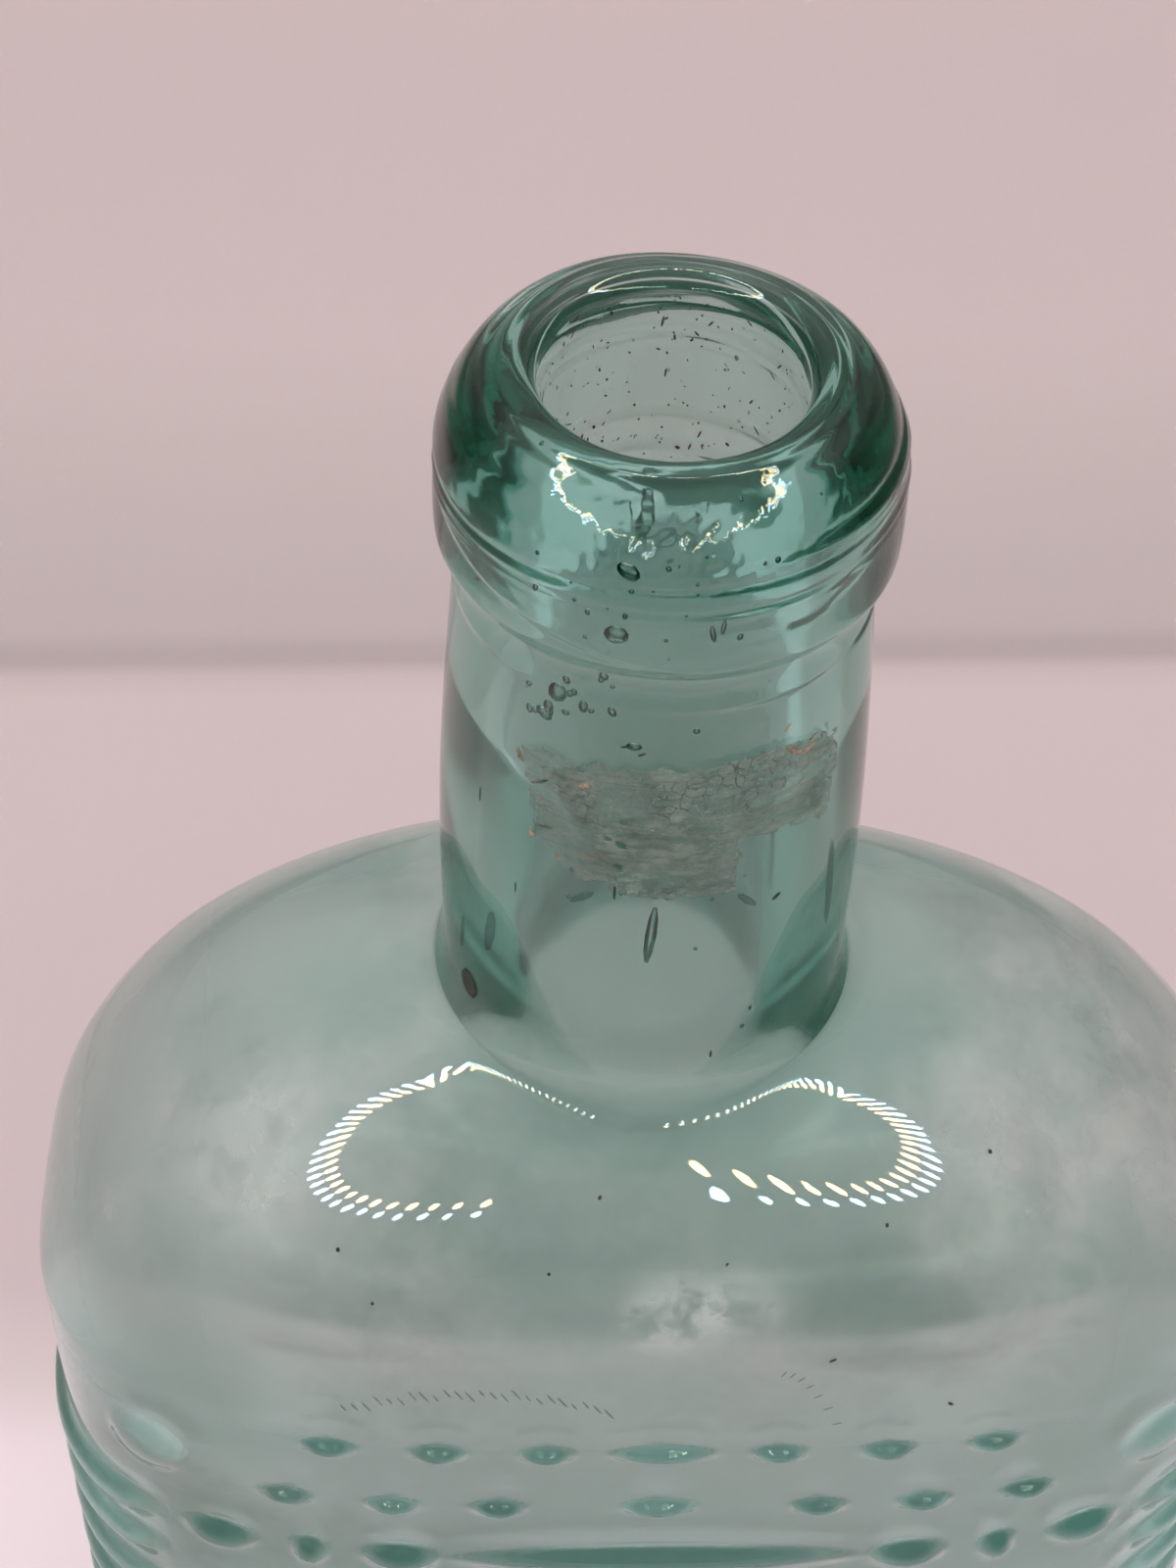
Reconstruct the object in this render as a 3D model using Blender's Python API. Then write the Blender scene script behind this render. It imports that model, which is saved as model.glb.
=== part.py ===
"""Oval poison bottle of mould-blown aqua glass with an applied lip and the remains of a paper band.

Metres, +Z up. The origin is on the ground under the middle of the body. +X is the bottle's right, seen from the
front, and the front, with its bands of raised studs, faces -Y.
"""

import math

import bpy
import numpy as np

# Body: a flattened oval, squarer than an ellipse
BODY_WIDTH = 0.094
BODY_DEPTH = 0.046
BODY_SQUARENESS = 3.27
BODY_HEIGHT = 0.1250
BODY_WALL = 0.0025
BASE_THICKNESS = 0.0055
HEEL_RADIUS = 0.0050
BASE_RING_WIDTH = 0.0040
KICK_UP = 0.0020

# Shoulder: rises further at the two sides than at the front and back
SHOULDER_RISE_SIDE = 0.0276
SHOULDER_RISE_FRONT = 0.0152
SHOULDER_DROP_FRONT = 0.0012
SHOULDER_ROUND_SIDE = 1.56
SHOULDER_ROUND_FRONT = 1.40
SHOULDER_WALL = 0.0032
SQUARENESS_FADE = 0.78

# Neck: stands a little to the left of the body's middle, as on many hand-finished bottles
NECK_X = -0.0019
NECK_HEIGHT = 0.0518
NECK_RADIUS_TOP = 0.0130
NECK_RADIUS_BASE = 0.0139
NECK_BULGE = 0.0006
NECK_BLEND = 0.0044
NECK_BORE_RADIUS = 0.0086
MOUTH_BORE_RADIUS = 0.0078
MOUTH_BORE_DEPTH = 0.0170

# Applied lip: a ring laid over the end of the neck, with a rounded bevel on top
LIP_RADIUS = 0.0142
LIP_HEIGHT = 0.0126
LIP_CAP = 0.0032
LIP_BEVEL_HEIGHT = 0.0046
LIP_BEVEL_ROUND = 0.55
LIP_EDGE_ROUND = 0.0014
LIP_CROWN_WIDTH = 0.0012
LIP_CROWN_DROP = 0.0008
LIP_CLEARANCE = 0.0003

# Raised studs on the front: two staggered lines of small ones, each with a wider one in the middle
SMALL_STUD_WIDTH = 0.0036
SMALL_STUD_HEIGHT = 0.0020
SMALL_STUD_PROUD = 0.0009
STUD_PITCH = 0.0080
STUD_SIDE_MARGIN = 0.0180
UPPER_LINE_DROP = 0.0027
UPPER_MIDDLE_WIDTH = 0.0070
UPPER_FIRST_X = 0.0085
LOWER_LINE_DROP = 0.0105
LOWER_MIDDLE_WIDTH = 0.0048
LOWER_FIRST_X = 0.0120

# One larger stud on each rounded corner of the front, level with the two lines
CORNER_STUD_MARGIN = 0.0085
CORNER_STUD_DROP = 0.0080
CORNER_STUD_WIDTH = 0.0062
CORNER_STUD_HEIGHT = 0.0066

# The bold line under them: bold studs at both sides, and a long bar that takes the room between them
BOLD_LINE_DROP = 0.0184
BOLD_STUD_HEIGHT = 0.0036
BOLD_STUD_PROUD = 0.0012
BOLD_STUD_WIDTH = 0.0052
BOLD_SMALL_WIDTH = 0.0024
BOLD_STUD_GAP = 0.0032
BOLD_SIDE_MARGIN = 0.0108

# Raised ribs on the two rounded flanks
RIB_PITCH = 0.0060
RIB_HEIGHT = 0.0026
RIB_PROUD = 0.0011
RIB_FACE_MARGIN = 0.0042
RIB_FOOT = 0.0140

# Paper band left on the front of the neck
PAPER_THICKNESS = 0.0004
PAPER_CLEARANCE = 0.0003
PAPER_BAND_TOP = 0.0176
PAPER_BAND_HEIGHT = 0.0126
PAPER_BAND_FROM = math.radians(-28)
PAPER_BAND_TO = math.radians(56)
PAPER_TEAR = 0.0009
SCRAP_SIZE = 0.0022

# How fast the fillet between neck and shoulder runs out upwards
BLEND_SLOPE = 1.2

# Mesh fineness
BODY_SEGMENTS = 60
CAVITY_SEGMENTS = 40
LIP_SEGMENTS = 64

SHOULDER_Z = BODY_HEIGHT + SHOULDER_RISE_SIDE
MOUTH_Z = SHOULDER_Z + NECK_HEIGHT
LIP_BOTTOM_Z = MOUTH_Z - LIP_HEIGHT
NECK_END_Z = MOUTH_Z - LIP_CAP - LIP_CLEARANCE


def clear_scene():
    for old in list(bpy.data.objects):
        bpy.data.objects.remove(old, do_unlink=True)


def material(name, colour, roughness, transmission=0.0, alpha=1.0):
    made = bpy.data.materials.new(name)
    made.use_nodes = True
    shader = made.node_tree.nodes["Principled BSDF"]
    shader.inputs["Base Color"].default_value = (*colour, 1.0)
    shader.inputs["Roughness"].default_value = roughness
    shader.inputs["Metallic"].default_value = 0.0
    shader.inputs["IOR"].default_value = 1.52
    shader.inputs["Transmission Weight"].default_value = transmission
    shader.inputs["Alpha"].default_value = alpha
    made.diffuse_color = (*colour, alpha)
    return made


def add_object(name, points, faces, made_of=None):
    mesh = bpy.data.meshes.new(name)
    mesh.from_pydata([tuple(p) for p in points], [], faces)
    mesh.validate()
    mesh.update()
    made = bpy.data.objects.new(name, mesh)
    bpy.context.scene.collection.objects.link(made)
    if made_of is not None:
        mesh.materials.append(made_of)
    return made


def smooth_shade(made, angle=40):
    made.data.shade_smooth()
    made.data.set_sharp_from_angle(angle=math.radians(angle))


def as_cutter(made):
    made.hide_render = True
    made.display_type = "WIRE"


def boolean(made, other, operation):
    step = made.modifiers.new(f"{operation.lower()} {other.name}", "BOOLEAN")
    step.operation = operation
    step.solver = "EXACT"
    step.object = other


def rounded(share, power):
    """Rises from 0 to 1 along a superelliptic quarter, steep at first and level at the end."""
    share = min(max(share, 0.0), 1.0)
    return (1.0 - (1.0 - share) ** power) ** (1.0 / power)


def soft_max(one, other, blend):
    """The larger of two lengths, with the corner between them filled over the blend length."""
    near = max(blend - abs(one - other), 0.0)
    return max(one, other) + near * near / (4.0 * blend)


class Section:
    """One level cut through the glass: an oval with half-width, half-depth, squareness and middle."""

    def __init__(self, z, half_width, half_depth, squareness, middle_x):
        self.z = z
        self.half_width = half_width
        self.half_depth = half_depth
        self.squareness = squareness
        self.middle_x = middle_x

    def point(self, angle):
        """The point on the oval in the direction of an angle, measured from +X."""
        c, s = math.cos(angle), math.sin(angle)
        n = self.squareness
        reach = (abs(c / self.half_width) ** n + abs(s / self.half_depth) ** n) ** (-1.0 / n)
        return np.array([self.middle_x + reach * c, reach * s, self.z])

    def even_points(self, count):
        """Points spaced evenly round the oval, starting at +X."""
        fine = 16 * count
        ring = np.array([self.point(2.0 * math.pi * i / fine) for i in range(fine + 1)])
        run = np.concatenate([[0.0], np.cumsum(np.linalg.norm(np.diff(ring, axis=0), axis=1))])
        wanted = np.arange(count) * run[-1] / count
        return [np.array([np.interp(w, run, ring[:, 0]), np.interp(w, run, ring[:, 1]), self.z]) for w in wanted]

    def along(self, x):
        """The front point of the oval at a distance x from its middle, and the outward direction there."""
        n = self.squareness
        share = min(abs(x) / self.half_width, 0.999)
        y = -self.half_depth * (1.0 - share**n) ** (1.0 / n)
        return self.outward(np.array([self.middle_x + x, y, self.z]))

    def outward(self, point):
        n = self.squareness
        x, y = point[0] - self.middle_x, point[1]
        slope_x = math.copysign(abs(x / self.half_width) ** (n - 1.0) / self.half_width, x)
        slope_y = math.copysign(abs(y / self.half_depth) ** (n - 1.0) / self.half_depth, y)
        length = math.hypot(slope_x, slope_y)
        return point, np.array([slope_x / length, slope_y / length, 0.0])


def shell_section(z, neck_radius, half_width, half_depth, start_z, rise_side, rise_front):
    """The oval of the outside, or of the cavity, at a height from the heel up to the neck."""
    share_side = (start_z - z) / rise_side
    front_z = start_z - SHOULDER_DROP_FRONT
    share_front = (front_z - z) / (rise_front - SHOULDER_DROP_FRONT)
    grown_side = rounded(share_side, SHOULDER_ROUND_SIDE)
    grown_front = rounded(share_front, SHOULDER_ROUND_FRONT)
    wide = neck_radius + (half_width - neck_radius) * grown_side - BLEND_SLOPE * max(z - start_z, 0.0)
    deep = neck_radius + (half_depth - neck_radius) * grown_front - BLEND_SLOPE * max(z - front_z, 0.0)
    squareness = 2.0 + (BODY_SQUARENESS - 2.0) * min(grown_side, grown_front) ** SQUARENESS_FADE
    middle_x = NECK_X * (1.0 - min(max(share_side, 0.0), 1.0))
    return Section(
        z,
        min(soft_max(neck_radius, wide, NECK_BLEND), half_width),
        min(soft_max(neck_radius, deep, NECK_BLEND), half_depth),
        squareness,
        middle_x,
    )


def neck_radius_at(z):
    """The neck widens downwards from under the lip, with a slight bulge below its middle."""
    share = min(max((LIP_BOTTOM_Z - z) / (LIP_BOTTOM_Z - SHOULDER_Z), 0.0), 1.0)
    bulge = NECK_BULGE * math.sin(math.pi * share**1.3)
    return NECK_RADIUS_TOP + (NECK_RADIUS_BASE - NECK_RADIUS_TOP) * share + bulge


def outside_section(z):
    return shell_section(
        z,
        neck_radius_at(z),
        BODY_WIDTH / 2,
        BODY_DEPTH / 2,
        SHOULDER_Z,
        SHOULDER_RISE_SIDE,
        SHOULDER_RISE_FRONT,
    )


def cavity_section(z):
    return shell_section(
        z,
        NECK_BORE_RADIUS,
        BODY_WIDTH / 2 - BODY_WALL,
        BODY_DEPTH / 2 - BODY_WALL,
        SHOULDER_Z - SHOULDER_WALL,
        SHOULDER_RISE_SIDE,
        SHOULDER_RISE_FRONT,
    )


def inset_section(section, inset, z):
    return Section(
        z,
        section.half_width - inset,
        section.half_depth - inset,
        section.squareness,
        section.middle_x,
    )


def scaled_section(section, share, z):
    return Section(z, section.half_width * share, section.half_depth * share, section.squareness, section.middle_x)


def shoulder_heights(start_z, rise, steps):
    """Heights down a shoulder, close together at its top where it turns fastest."""
    return [start_z - rise * (i / steps) ** 1.7 for i in range(steps + 1)]


def loft(sections, segments):
    """The points and side faces of a skin through ovals listed from the lowest to the highest."""
    points = []
    faces = []
    for section in sections:
        points.extend(section.even_points(segments))
    for row in range(len(sections) - 1):
        low = row * segments
        high = low + segments
        for i in range(segments):
            j = (i + 1) % segments
            faces.append((low + i, low + j, high + j, high + i))
    return points, faces


def close_ends(points, faces, segments, bottom, top):
    """Adds the middle point of each end and the fan of triangles round it."""
    last = len(points) - segments
    points.append(np.array(bottom))
    points.append(np.array(top))
    bottom_at = len(points) - 2
    top_at = len(points) - 1
    for i in range(segments):
        j = (i + 1) % segments
        faces.append((j, i, bottom_at))
        faces.append((last + i, last + j, top_at))


def base_sections(full):
    """The underside from the middle outwards: a shallow kick-up, the flat resting ring and the round heel."""
    flat = inset_section(full, HEEL_RADIUS, 0.0)
    inner = inset_section(flat, BASE_RING_WIDTH, 0.0)
    rows = [scaled_section(inner, share, KICK_UP * (1.0 - share * share)) for share in (0.3, 0.65)]
    rows.append(inner)
    rows.append(flat)
    for step in range(1, 4):
        turn = math.radians(90 * step / 4)
        rows.append(inset_section(full, HEEL_RADIUS * (1 - math.sin(turn)), HEEL_RADIUS * (1 - math.cos(turn))))
    return rows


def outside_solid(glass):
    full = outside_section(BODY_HEIGHT)
    rows = base_sections(full)
    rows.append(inset_section(full, 0.0, HEEL_RADIUS))
    rows.append(inset_section(full, 0.0, BODY_HEIGHT * 0.5))
    shoulder = shoulder_heights(SHOULDER_Z, SHOULDER_RISE_SIDE, 15)
    rows.extend(outside_section(z) for z in reversed(shoulder))
    for rise in (0.0008, 0.0018, 0.0032, 0.0052, 0.0085):
        rows.append(outside_section(SHOULDER_Z + rise))
    rows.append(outside_section(0.5 * (SHOULDER_Z + LIP_BOTTOM_Z)))
    rows.append(outside_section(LIP_BOTTOM_Z))
    rows.append(outside_section(NECK_END_Z))
    points, faces = loft(rows, BODY_SEGMENTS)
    close_ends(points, faces, BODY_SEGMENTS, (0, 0, KICK_UP), (NECK_X, 0, NECK_END_Z))
    return add_object("bottle_body", points, faces, glass)


def cavity_cutter():
    full = cavity_section(BODY_HEIGHT - SHOULDER_WALL)
    floor_round = HEEL_RADIUS
    rows = [scaled_section(inset_section(full, floor_round, 0), 0.5, BASE_THICKNESS)]
    for step in range(4):
        turn = math.radians(90 * step / 4)
        inset = floor_round * (1 - math.sin(turn))
        rows.append(inset_section(full, inset, BASE_THICKNESS + floor_round * (1 - math.cos(turn))))
    rows.append(inset_section(full, 0.0, BASE_THICKNESS + floor_round))
    start = SHOULDER_Z - SHOULDER_WALL
    rows.extend(cavity_section(z) for z in reversed(shoulder_heights(start, SHOULDER_RISE_SIDE, 12)))
    for rise in (0.0012, 0.0028, 0.0055, 0.0100):
        rows.append(cavity_section(start + rise))
    mouth_start = MOUTH_Z - MOUTH_BORE_DEPTH
    rows.append(cavity_section(mouth_start - MOUTH_BORE_RADIUS))
    for z in (mouth_start, NECK_END_Z + LIP_CLEARANCE + LIP_CAP):
        rows.append(Section(z, MOUTH_BORE_RADIUS, MOUTH_BORE_RADIUS, 2.0, NECK_X))
    points, faces = loft(rows, CAVITY_SEGMENTS)
    top_z = rows[-1].z
    close_ends(points, faces, CAVITY_SEGMENTS, (0, 0, BASE_THICKNESS), (NECK_X, 0, top_z))
    cutter = add_object("cavity", points, faces)
    as_cutter(cutter)
    return cutter


def stud_mesh(place, outward, width, height, proud):
    """A low dome with an oval outline, sunk into the wall behind it, as points and faces."""
    side = np.array([-outward[1], outward[0], 0.0])
    up = np.array([0.0, 0.0, 1.0])
    rings = [(1.0, -0.9), (0.90, 0.25), (0.55, 0.80)]
    around = 10
    points = []
    faces = []
    for share, lift in rings:
        for i in range(around):
            turn = 2 * math.pi * i / around
            flat = side * (width / 2 * share * math.cos(turn)) + up * (height / 2 * share * math.sin(turn))
            points.append(place + flat + outward * proud * lift)
    for row in range(len(rings) - 1):
        for i in range(around):
            j = (i + 1) % around
            low = row * around
            faces.append((low + i, low + j, low + around + j, low + around + i))
    points.append(place + outward * proud)
    tip = len(points) - 1
    last = (len(rings) - 1) * around
    for i in range(around):
        faces.append((last + i, last + (i + 1) % around, tip))
    faces.append(tuple(reversed(range(around))))
    return points, faces


def rib_mesh(section, side, height, proud):
    """A half-round rib that follows the oval round one flank, with ends that run out near the two faces."""
    steps = 8
    around = 6
    middle = 0.0 if side > 0 else math.pi
    fine = 200
    angles = [middle + math.pi / 2 * (2.0 * i / fine - 1.0) for i in range(fine + 1)]
    ring = np.array([section.point(a) for a in angles])
    ring = ring[np.abs(ring[:, 1]) < section.half_depth - RIB_FACE_MARGIN]
    run = np.concatenate([[0.0], np.cumsum(np.linalg.norm(np.diff(ring, axis=0), axis=1))])
    points = []
    faces = []
    for step in range(steps + 1):
        share = 2.0 * step / steps - 1.0
        at = run[-1] * step / steps
        place = np.array([np.interp(at, run, ring[:, k]) for k in range(3)])
        place, outward = section.outward(place)
        taper = max(math.sqrt(max(1.0 - abs(share) ** 6, 0.0)), 0.25)
        for i in range(around):
            turn = 2 * math.pi * i / around
            lift = outward * (proud * taper * math.cos(turn))
            points.append(place + lift + np.array([0.0, 0.0, height / 2 * taper * math.sin(turn)]))
    for step in range(steps):
        for i in range(around):
            j = (i + 1) % around
            low = step * around
            faces.append((low + j, low + i, low + around + i, low + around + j))
    faces.append(tuple(range(around)))
    faces.append(tuple(reversed(range(steps * around, (steps + 1) * around))))
    return points, faces


def gather(parts):
    """Joins several meshes, given as points and faces, into one list of each."""
    points = []
    faces = []
    for part_points, part_faces in parts:
        start = len(points)
        points.extend(part_points)
        faces.extend(tuple(start + i for i in face) for face in part_faces)
    return points, faces


def small_line(middle_width, first_x):
    """The place along the front and the width of each stud of a line: one in the middle, small ones beside it."""
    made = [(0.0, middle_width)]
    x = first_x
    while x < BODY_WIDTH / 2 - STUD_SIDE_MARGIN:
        made += [(-x, SMALL_STUD_WIDTH), (x, SMALL_STUD_WIDTH)]
        x += STUD_PITCH
    return made


def bold_line():
    """The long bar, then a wide, a small and a wide stud on each side, as places and widths."""
    widths = (BOLD_STUD_WIDTH, BOLD_SMALL_WIDTH, BOLD_STUD_WIDTH)
    side_room = BOLD_SIDE_MARGIN + sum(widths) + BOLD_STUD_GAP * len(widths)
    bar_width = BODY_WIDTH - 2 * side_room
    made = [(0.0, bar_width)]
    edge = bar_width / 2
    for width in widths:
        x = edge + BOLD_STUD_GAP + width / 2
        made += [(-x, width), (x, width)]
        edge = x + width / 2
    return made


def raised_pattern():
    """All studs and ribs as one mesh, each sunk a little into the wall."""
    parts = []
    corner_x = BODY_WIDTH / 2 - CORNER_STUD_MARGIN
    corners = [(side * corner_x, CORNER_STUD_WIDTH) for side in (-1, 1)]
    lines = [
        (small_line(UPPER_MIDDLE_WIDTH, UPPER_FIRST_X), UPPER_LINE_DROP, SMALL_STUD_HEIGHT, SMALL_STUD_PROUD),
        (small_line(LOWER_MIDDLE_WIDTH, LOWER_FIRST_X), LOWER_LINE_DROP, SMALL_STUD_HEIGHT, SMALL_STUD_PROUD),
        (corners, CORNER_STUD_DROP, CORNER_STUD_HEIGHT, SMALL_STUD_PROUD),
        (bold_line(), BOLD_LINE_DROP, BOLD_STUD_HEIGHT, BOLD_STUD_PROUD),
    ]
    for studs, drop, height, proud in lines:
        section = outside_section(BODY_HEIGHT - drop)
        for x, width in studs:
            place, outward = section.along(x)
            parts.append(stud_mesh(place, outward, width, height, proud))
    z = BODY_HEIGHT - BOLD_LINE_DROP
    while z > RIB_FOOT:
        for side in (-1, 1):
            parts.append(rib_mesh(outside_section(z), side, RIB_HEIGHT, RIB_PROUD))
        z -= RIB_PITCH
    points, faces = gather(parts)
    pattern = add_object("raised_pattern", points, faces)
    as_cutter(pattern)
    return pattern


def bottle_body(glass):
    body = outside_solid(glass)
    boolean(body, raised_pattern(), "UNION")
    boolean(body, cavity_cutter(), "DIFFERENCE")
    smooth_shade(body)
    return body


def lip_profile():
    """Radius and height round the section of the ring: top, outside, underside, then up inside it."""
    seat = NECK_RADIUS_TOP + LIP_CLEARANCE
    crown_radius = MOUTH_BORE_RADIUS + LIP_CROWN_WIDTH
    profile = [(MOUTH_BORE_RADIUS, MOUTH_Z - LIP_CROWN_DROP)]
    profile.append((MOUTH_BORE_RADIUS + 0.4 * LIP_CROWN_WIDTH, MOUTH_Z - 0.2 * LIP_CROWN_DROP))
    steps = 6
    for i in range(steps + 1):
        share = i / steps
        turn = math.radians(90 * share)
        across = LIP_BEVEL_ROUND * math.sin(turn) + (1 - LIP_BEVEL_ROUND) * share
        down = LIP_BEVEL_ROUND * (1 - math.cos(turn)) + (1 - LIP_BEVEL_ROUND) * share
        radius = crown_radius + (LIP_RADIUS - crown_radius) * across
        profile.append((radius, MOUTH_Z - LIP_BEVEL_HEIGHT * down))
    for i in range(4):
        turn = math.radians(90 * i / 3)
        across = LIP_RADIUS - LIP_EDGE_ROUND * (1 - math.cos(turn))
        profile.append((across, LIP_BOTTOM_Z + LIP_EDGE_ROUND * (1 - math.sin(turn))))
    profile.append((seat, LIP_BOTTOM_Z))
    profile.append((seat, NECK_END_Z + LIP_CLEARANCE))
    profile.append((MOUTH_BORE_RADIUS, NECK_END_Z + LIP_CLEARANCE))
    return profile


def applied_lip(glass):
    profile = lip_profile()
    edges = [(i, (i + 1) % len(profile)) for i in range(len(profile))]
    mesh = bpy.data.meshes.new("applied_lip")
    mesh.from_pydata([(r, 0.0, z) for r, z in profile], edges, [])
    lip = bpy.data.objects.new("applied_lip", mesh)
    bpy.context.scene.collection.objects.link(lip)
    lip.location = (NECK_X, 0.0, 0.0)
    mesh.materials.append(glass)
    screw = lip.modifiers.new("turn", "SCREW")
    screw.steps = LIP_SEGMENTS
    screw.render_steps = LIP_SEGMENTS
    screw.use_merge_vertices = True
    screw.merge_threshold = 0.00001
    screw.use_smooth_shade = True
    return lip


def wrap(turn, z, lift):
    """A point on the neck's surface, by its angle from the front and its height, lifted off the glass."""
    reach = outside_section(z).half_width + lift
    return np.array([NECK_X + reach * math.sin(turn), -reach * math.cos(turn), z])


def paper_patch(name, outline_low, outline_high, turns, paper):
    """A thin sheet on the neck between a lower and an upper edge, given at each angle."""
    rows = 5
    points = []
    faces = []
    inner = PAPER_CLEARANCE
    outer = PAPER_CLEARANCE + PAPER_THICKNESS
    across = len(turns)
    for lift in (inner, outer):
        for row in range(rows):
            for turn, low, high in zip(turns, outline_low, outline_high):
                points.append(wrap(turn, low + (high - low) * row / (rows - 1), lift))
    skin = rows * across
    for row in range(rows - 1):
        for i in range(across - 1):
            a = row * across + i
            faces.append((a, a + across, a + across + 1, a + 1))
            b = a + skin
            faces.append((b, b + 1, b + across + 1, b + across))
    border = list(range(across))
    border += [row * across + across - 1 for row in range(1, rows)]
    border += [(rows - 1) * across + i for i in range(across - 2, -1, -1)]
    border += [row * across for row in range(rows - 2, 0, -1)]
    for k, a in enumerate(border):
        b = border[(k + 1) % len(border)]
        faces.append((a, b, b + skin, a + skin))
    return add_object(name, points, faces, paper)


def paper_band(paper):
    top_z = MOUTH_Z - PAPER_BAND_TOP
    low_z = top_z - PAPER_BAND_HEIGHT
    steps = 24
    turns = [PAPER_BAND_FROM + (PAPER_BAND_TO - PAPER_BAND_FROM) * i / steps for i in range(steps + 1)]
    torn = []
    for i, turn in enumerate(turns):
        wave = 0.5 * math.sin(turn * 9.0) + 0.3 * math.sin(turn * 23.0 + 1.0) + 0.2 * math.sin(turn * 41.0)
        torn.append(top_z + PAPER_TEAR * (wave - 1.0))
    low = [low_z] * len(turns)
    return paper_patch("paper_band", low, torn, turns, paper)


def paper_scraps(paper):
    """Three small torn scraps that stayed on the glass beyond the left end of the band."""
    low_z = MOUTH_Z - PAPER_BAND_TOP - PAPER_BAND_HEIGHT
    half_turn = SCRAP_SIZE / 2 / NECK_RADIUS_TOP
    first = PAPER_BAND_FROM - 1.7 * half_turn
    made = []
    for number, share in enumerate((0.12, 0.50, 0.88), start=1):
        middle_z = low_z + PAPER_BAND_HEIGHT * share
        turns = [first + half_turn * k for k in (-1.0, -0.4, 0.3, 1.0)]
        low = [middle_z - SCRAP_SIZE * k for k in (0.15, 0.45, 0.50, 0.20)]
        high = [middle_z + SCRAP_SIZE * k for k in (0.20, 0.50, 0.35, 0.10)]
        made.append(paper_patch(f"paper_scrap_{number}", low, high, turns, paper))
    return made


def main():
    clear_scene()
    body_glass = material("aqua_glass", (0.55, 0.78, 0.74), 0.05, transmission=0.9, alpha=0.45)
    lip_glass = material("lip_glass", (0.34, 0.66, 0.60), 0.06, transmission=0.9, alpha=0.55)
    bottle_body(body_glass)
    applied_lip(lip_glass)
    paper_band(material("band_paper", (0.42, 0.47, 0.42), 0.85))
    paper_scraps(material("scrap_paper", (0.55, 0.44, 0.33), 0.9))


main()
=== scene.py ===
import math

import bpy
import numpy as np
from mathutils import Matrix, Vector
from mathutils.bvhtree import BVHTree


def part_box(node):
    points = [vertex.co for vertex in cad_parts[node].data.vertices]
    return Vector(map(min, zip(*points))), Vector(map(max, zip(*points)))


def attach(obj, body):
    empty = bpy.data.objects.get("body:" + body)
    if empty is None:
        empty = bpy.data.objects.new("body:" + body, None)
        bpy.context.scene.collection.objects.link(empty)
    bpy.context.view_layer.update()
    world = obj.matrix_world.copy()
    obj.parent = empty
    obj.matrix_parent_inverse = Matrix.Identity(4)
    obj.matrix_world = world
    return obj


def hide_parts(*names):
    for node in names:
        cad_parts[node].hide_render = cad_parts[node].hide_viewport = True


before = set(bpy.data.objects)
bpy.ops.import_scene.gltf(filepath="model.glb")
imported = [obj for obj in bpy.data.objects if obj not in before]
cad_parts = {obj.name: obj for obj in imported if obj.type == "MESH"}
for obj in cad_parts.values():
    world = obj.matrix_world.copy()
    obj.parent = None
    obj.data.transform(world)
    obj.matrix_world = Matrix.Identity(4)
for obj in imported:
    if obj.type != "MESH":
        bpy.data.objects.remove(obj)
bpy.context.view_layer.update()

# The frame's boxes, from which the lip and the neck's middle are taken
LIP_LOW, LIP_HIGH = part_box("applied_lip")
MOUTH_Z = LIP_HIGH.z
LIP_BOTTOM_Z = LIP_LOW.z
LIP_RADIUS = (LIP_HIGH.x - LIP_LOW.x) / 2
NECK_X = (LIP_HIGH.x + LIP_LOW.x) / 2

# Body and shoulder, with the same values as in the part's source, in metres
BODY_WIDTH = 0.094
BODY_DEPTH = 0.046
BODY_SQUARENESS = 3.27
BODY_HEIGHT = 0.125
BASE_THICKNESS = 0.0055
HEEL_RADIUS = 0.005
BASE_RING_WIDTH = 0.004
KICK_UP = 0.002
SHOULDER_RISE_SIDE = 0.0276
SHOULDER_RISE_FRONT = 0.0152
SHOULDER_DROP_FRONT = 0.0012
OUTER_BENDS = (1.56, 1.4, 0.0044)
SQUARENESS_FADE = 0.78
BLEND_SLOPE = 1.2
CAVITY_WALL = 0.0021
CAVITY_DROP = 0.006
CAVITY_BENDS = (2.05, 2.0, 0.01)
SHOULDER_Z = BODY_HEIGHT + SHOULDER_RISE_SIDE

# Neck and bore
NECK_RADIUS_TOP = 0.013
NECK_RADIUS_BASE = 0.0139
NECK_BULGE = 0.0006
NECK_BULGE_BEND = 1.3
NECK_BORE_RADIUS = 0.0086
MOUTH_BORE_RADIUS = 0.0078
MOUTH_BORE_DEPTH = 0.017
BORE_CONE = 0.009

# Raised studs and ribs
STUD_PITCH = 0.008
STUDS_EACH_SIDE = 3
SMALL_STUD = (0.0036, 0.002, 0.0009)
UPPER_MIDDLE_STUD = (0.007, 0.002, 0.0009)
LOWER_MIDDLE_STUD = (0.0048, 0.002, 0.0009)
CORNER_STUD = (0.0062, 0.0066, 0.0009)
BOLD_STUD = (0.0052, 0.0036, 0.0012)
BOLD_SMALL_STUD = (0.0024, 0.0036, 0.0012)
BAR_STUD = (0.0276, 0.0036, 0.0012)
UPPER_LINE_Z = BODY_HEIGHT - 0.0027
UPPER_FIRST_X = 0.0085
LOWER_LINE_Z = BODY_HEIGHT - 0.0105
LOWER_FIRST_X = 0.012
CORNER_Z = BODY_HEIGHT - 0.008
CORNER_X = 0.0385
BOLD_LINE_Z = BODY_HEIGHT - 0.0184
BOLD_STUD_GAP = 0.0032
RIB_PITCH = 0.006
RIB_HEIGHT = 0.0026
RIB_PROUD = 0.0011
RIB_FACE_MARGIN = 0.0042
RIB_FOOT = 0.014
DOME_FALL = 1.9
DOME_CROWN = 0.9

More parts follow.
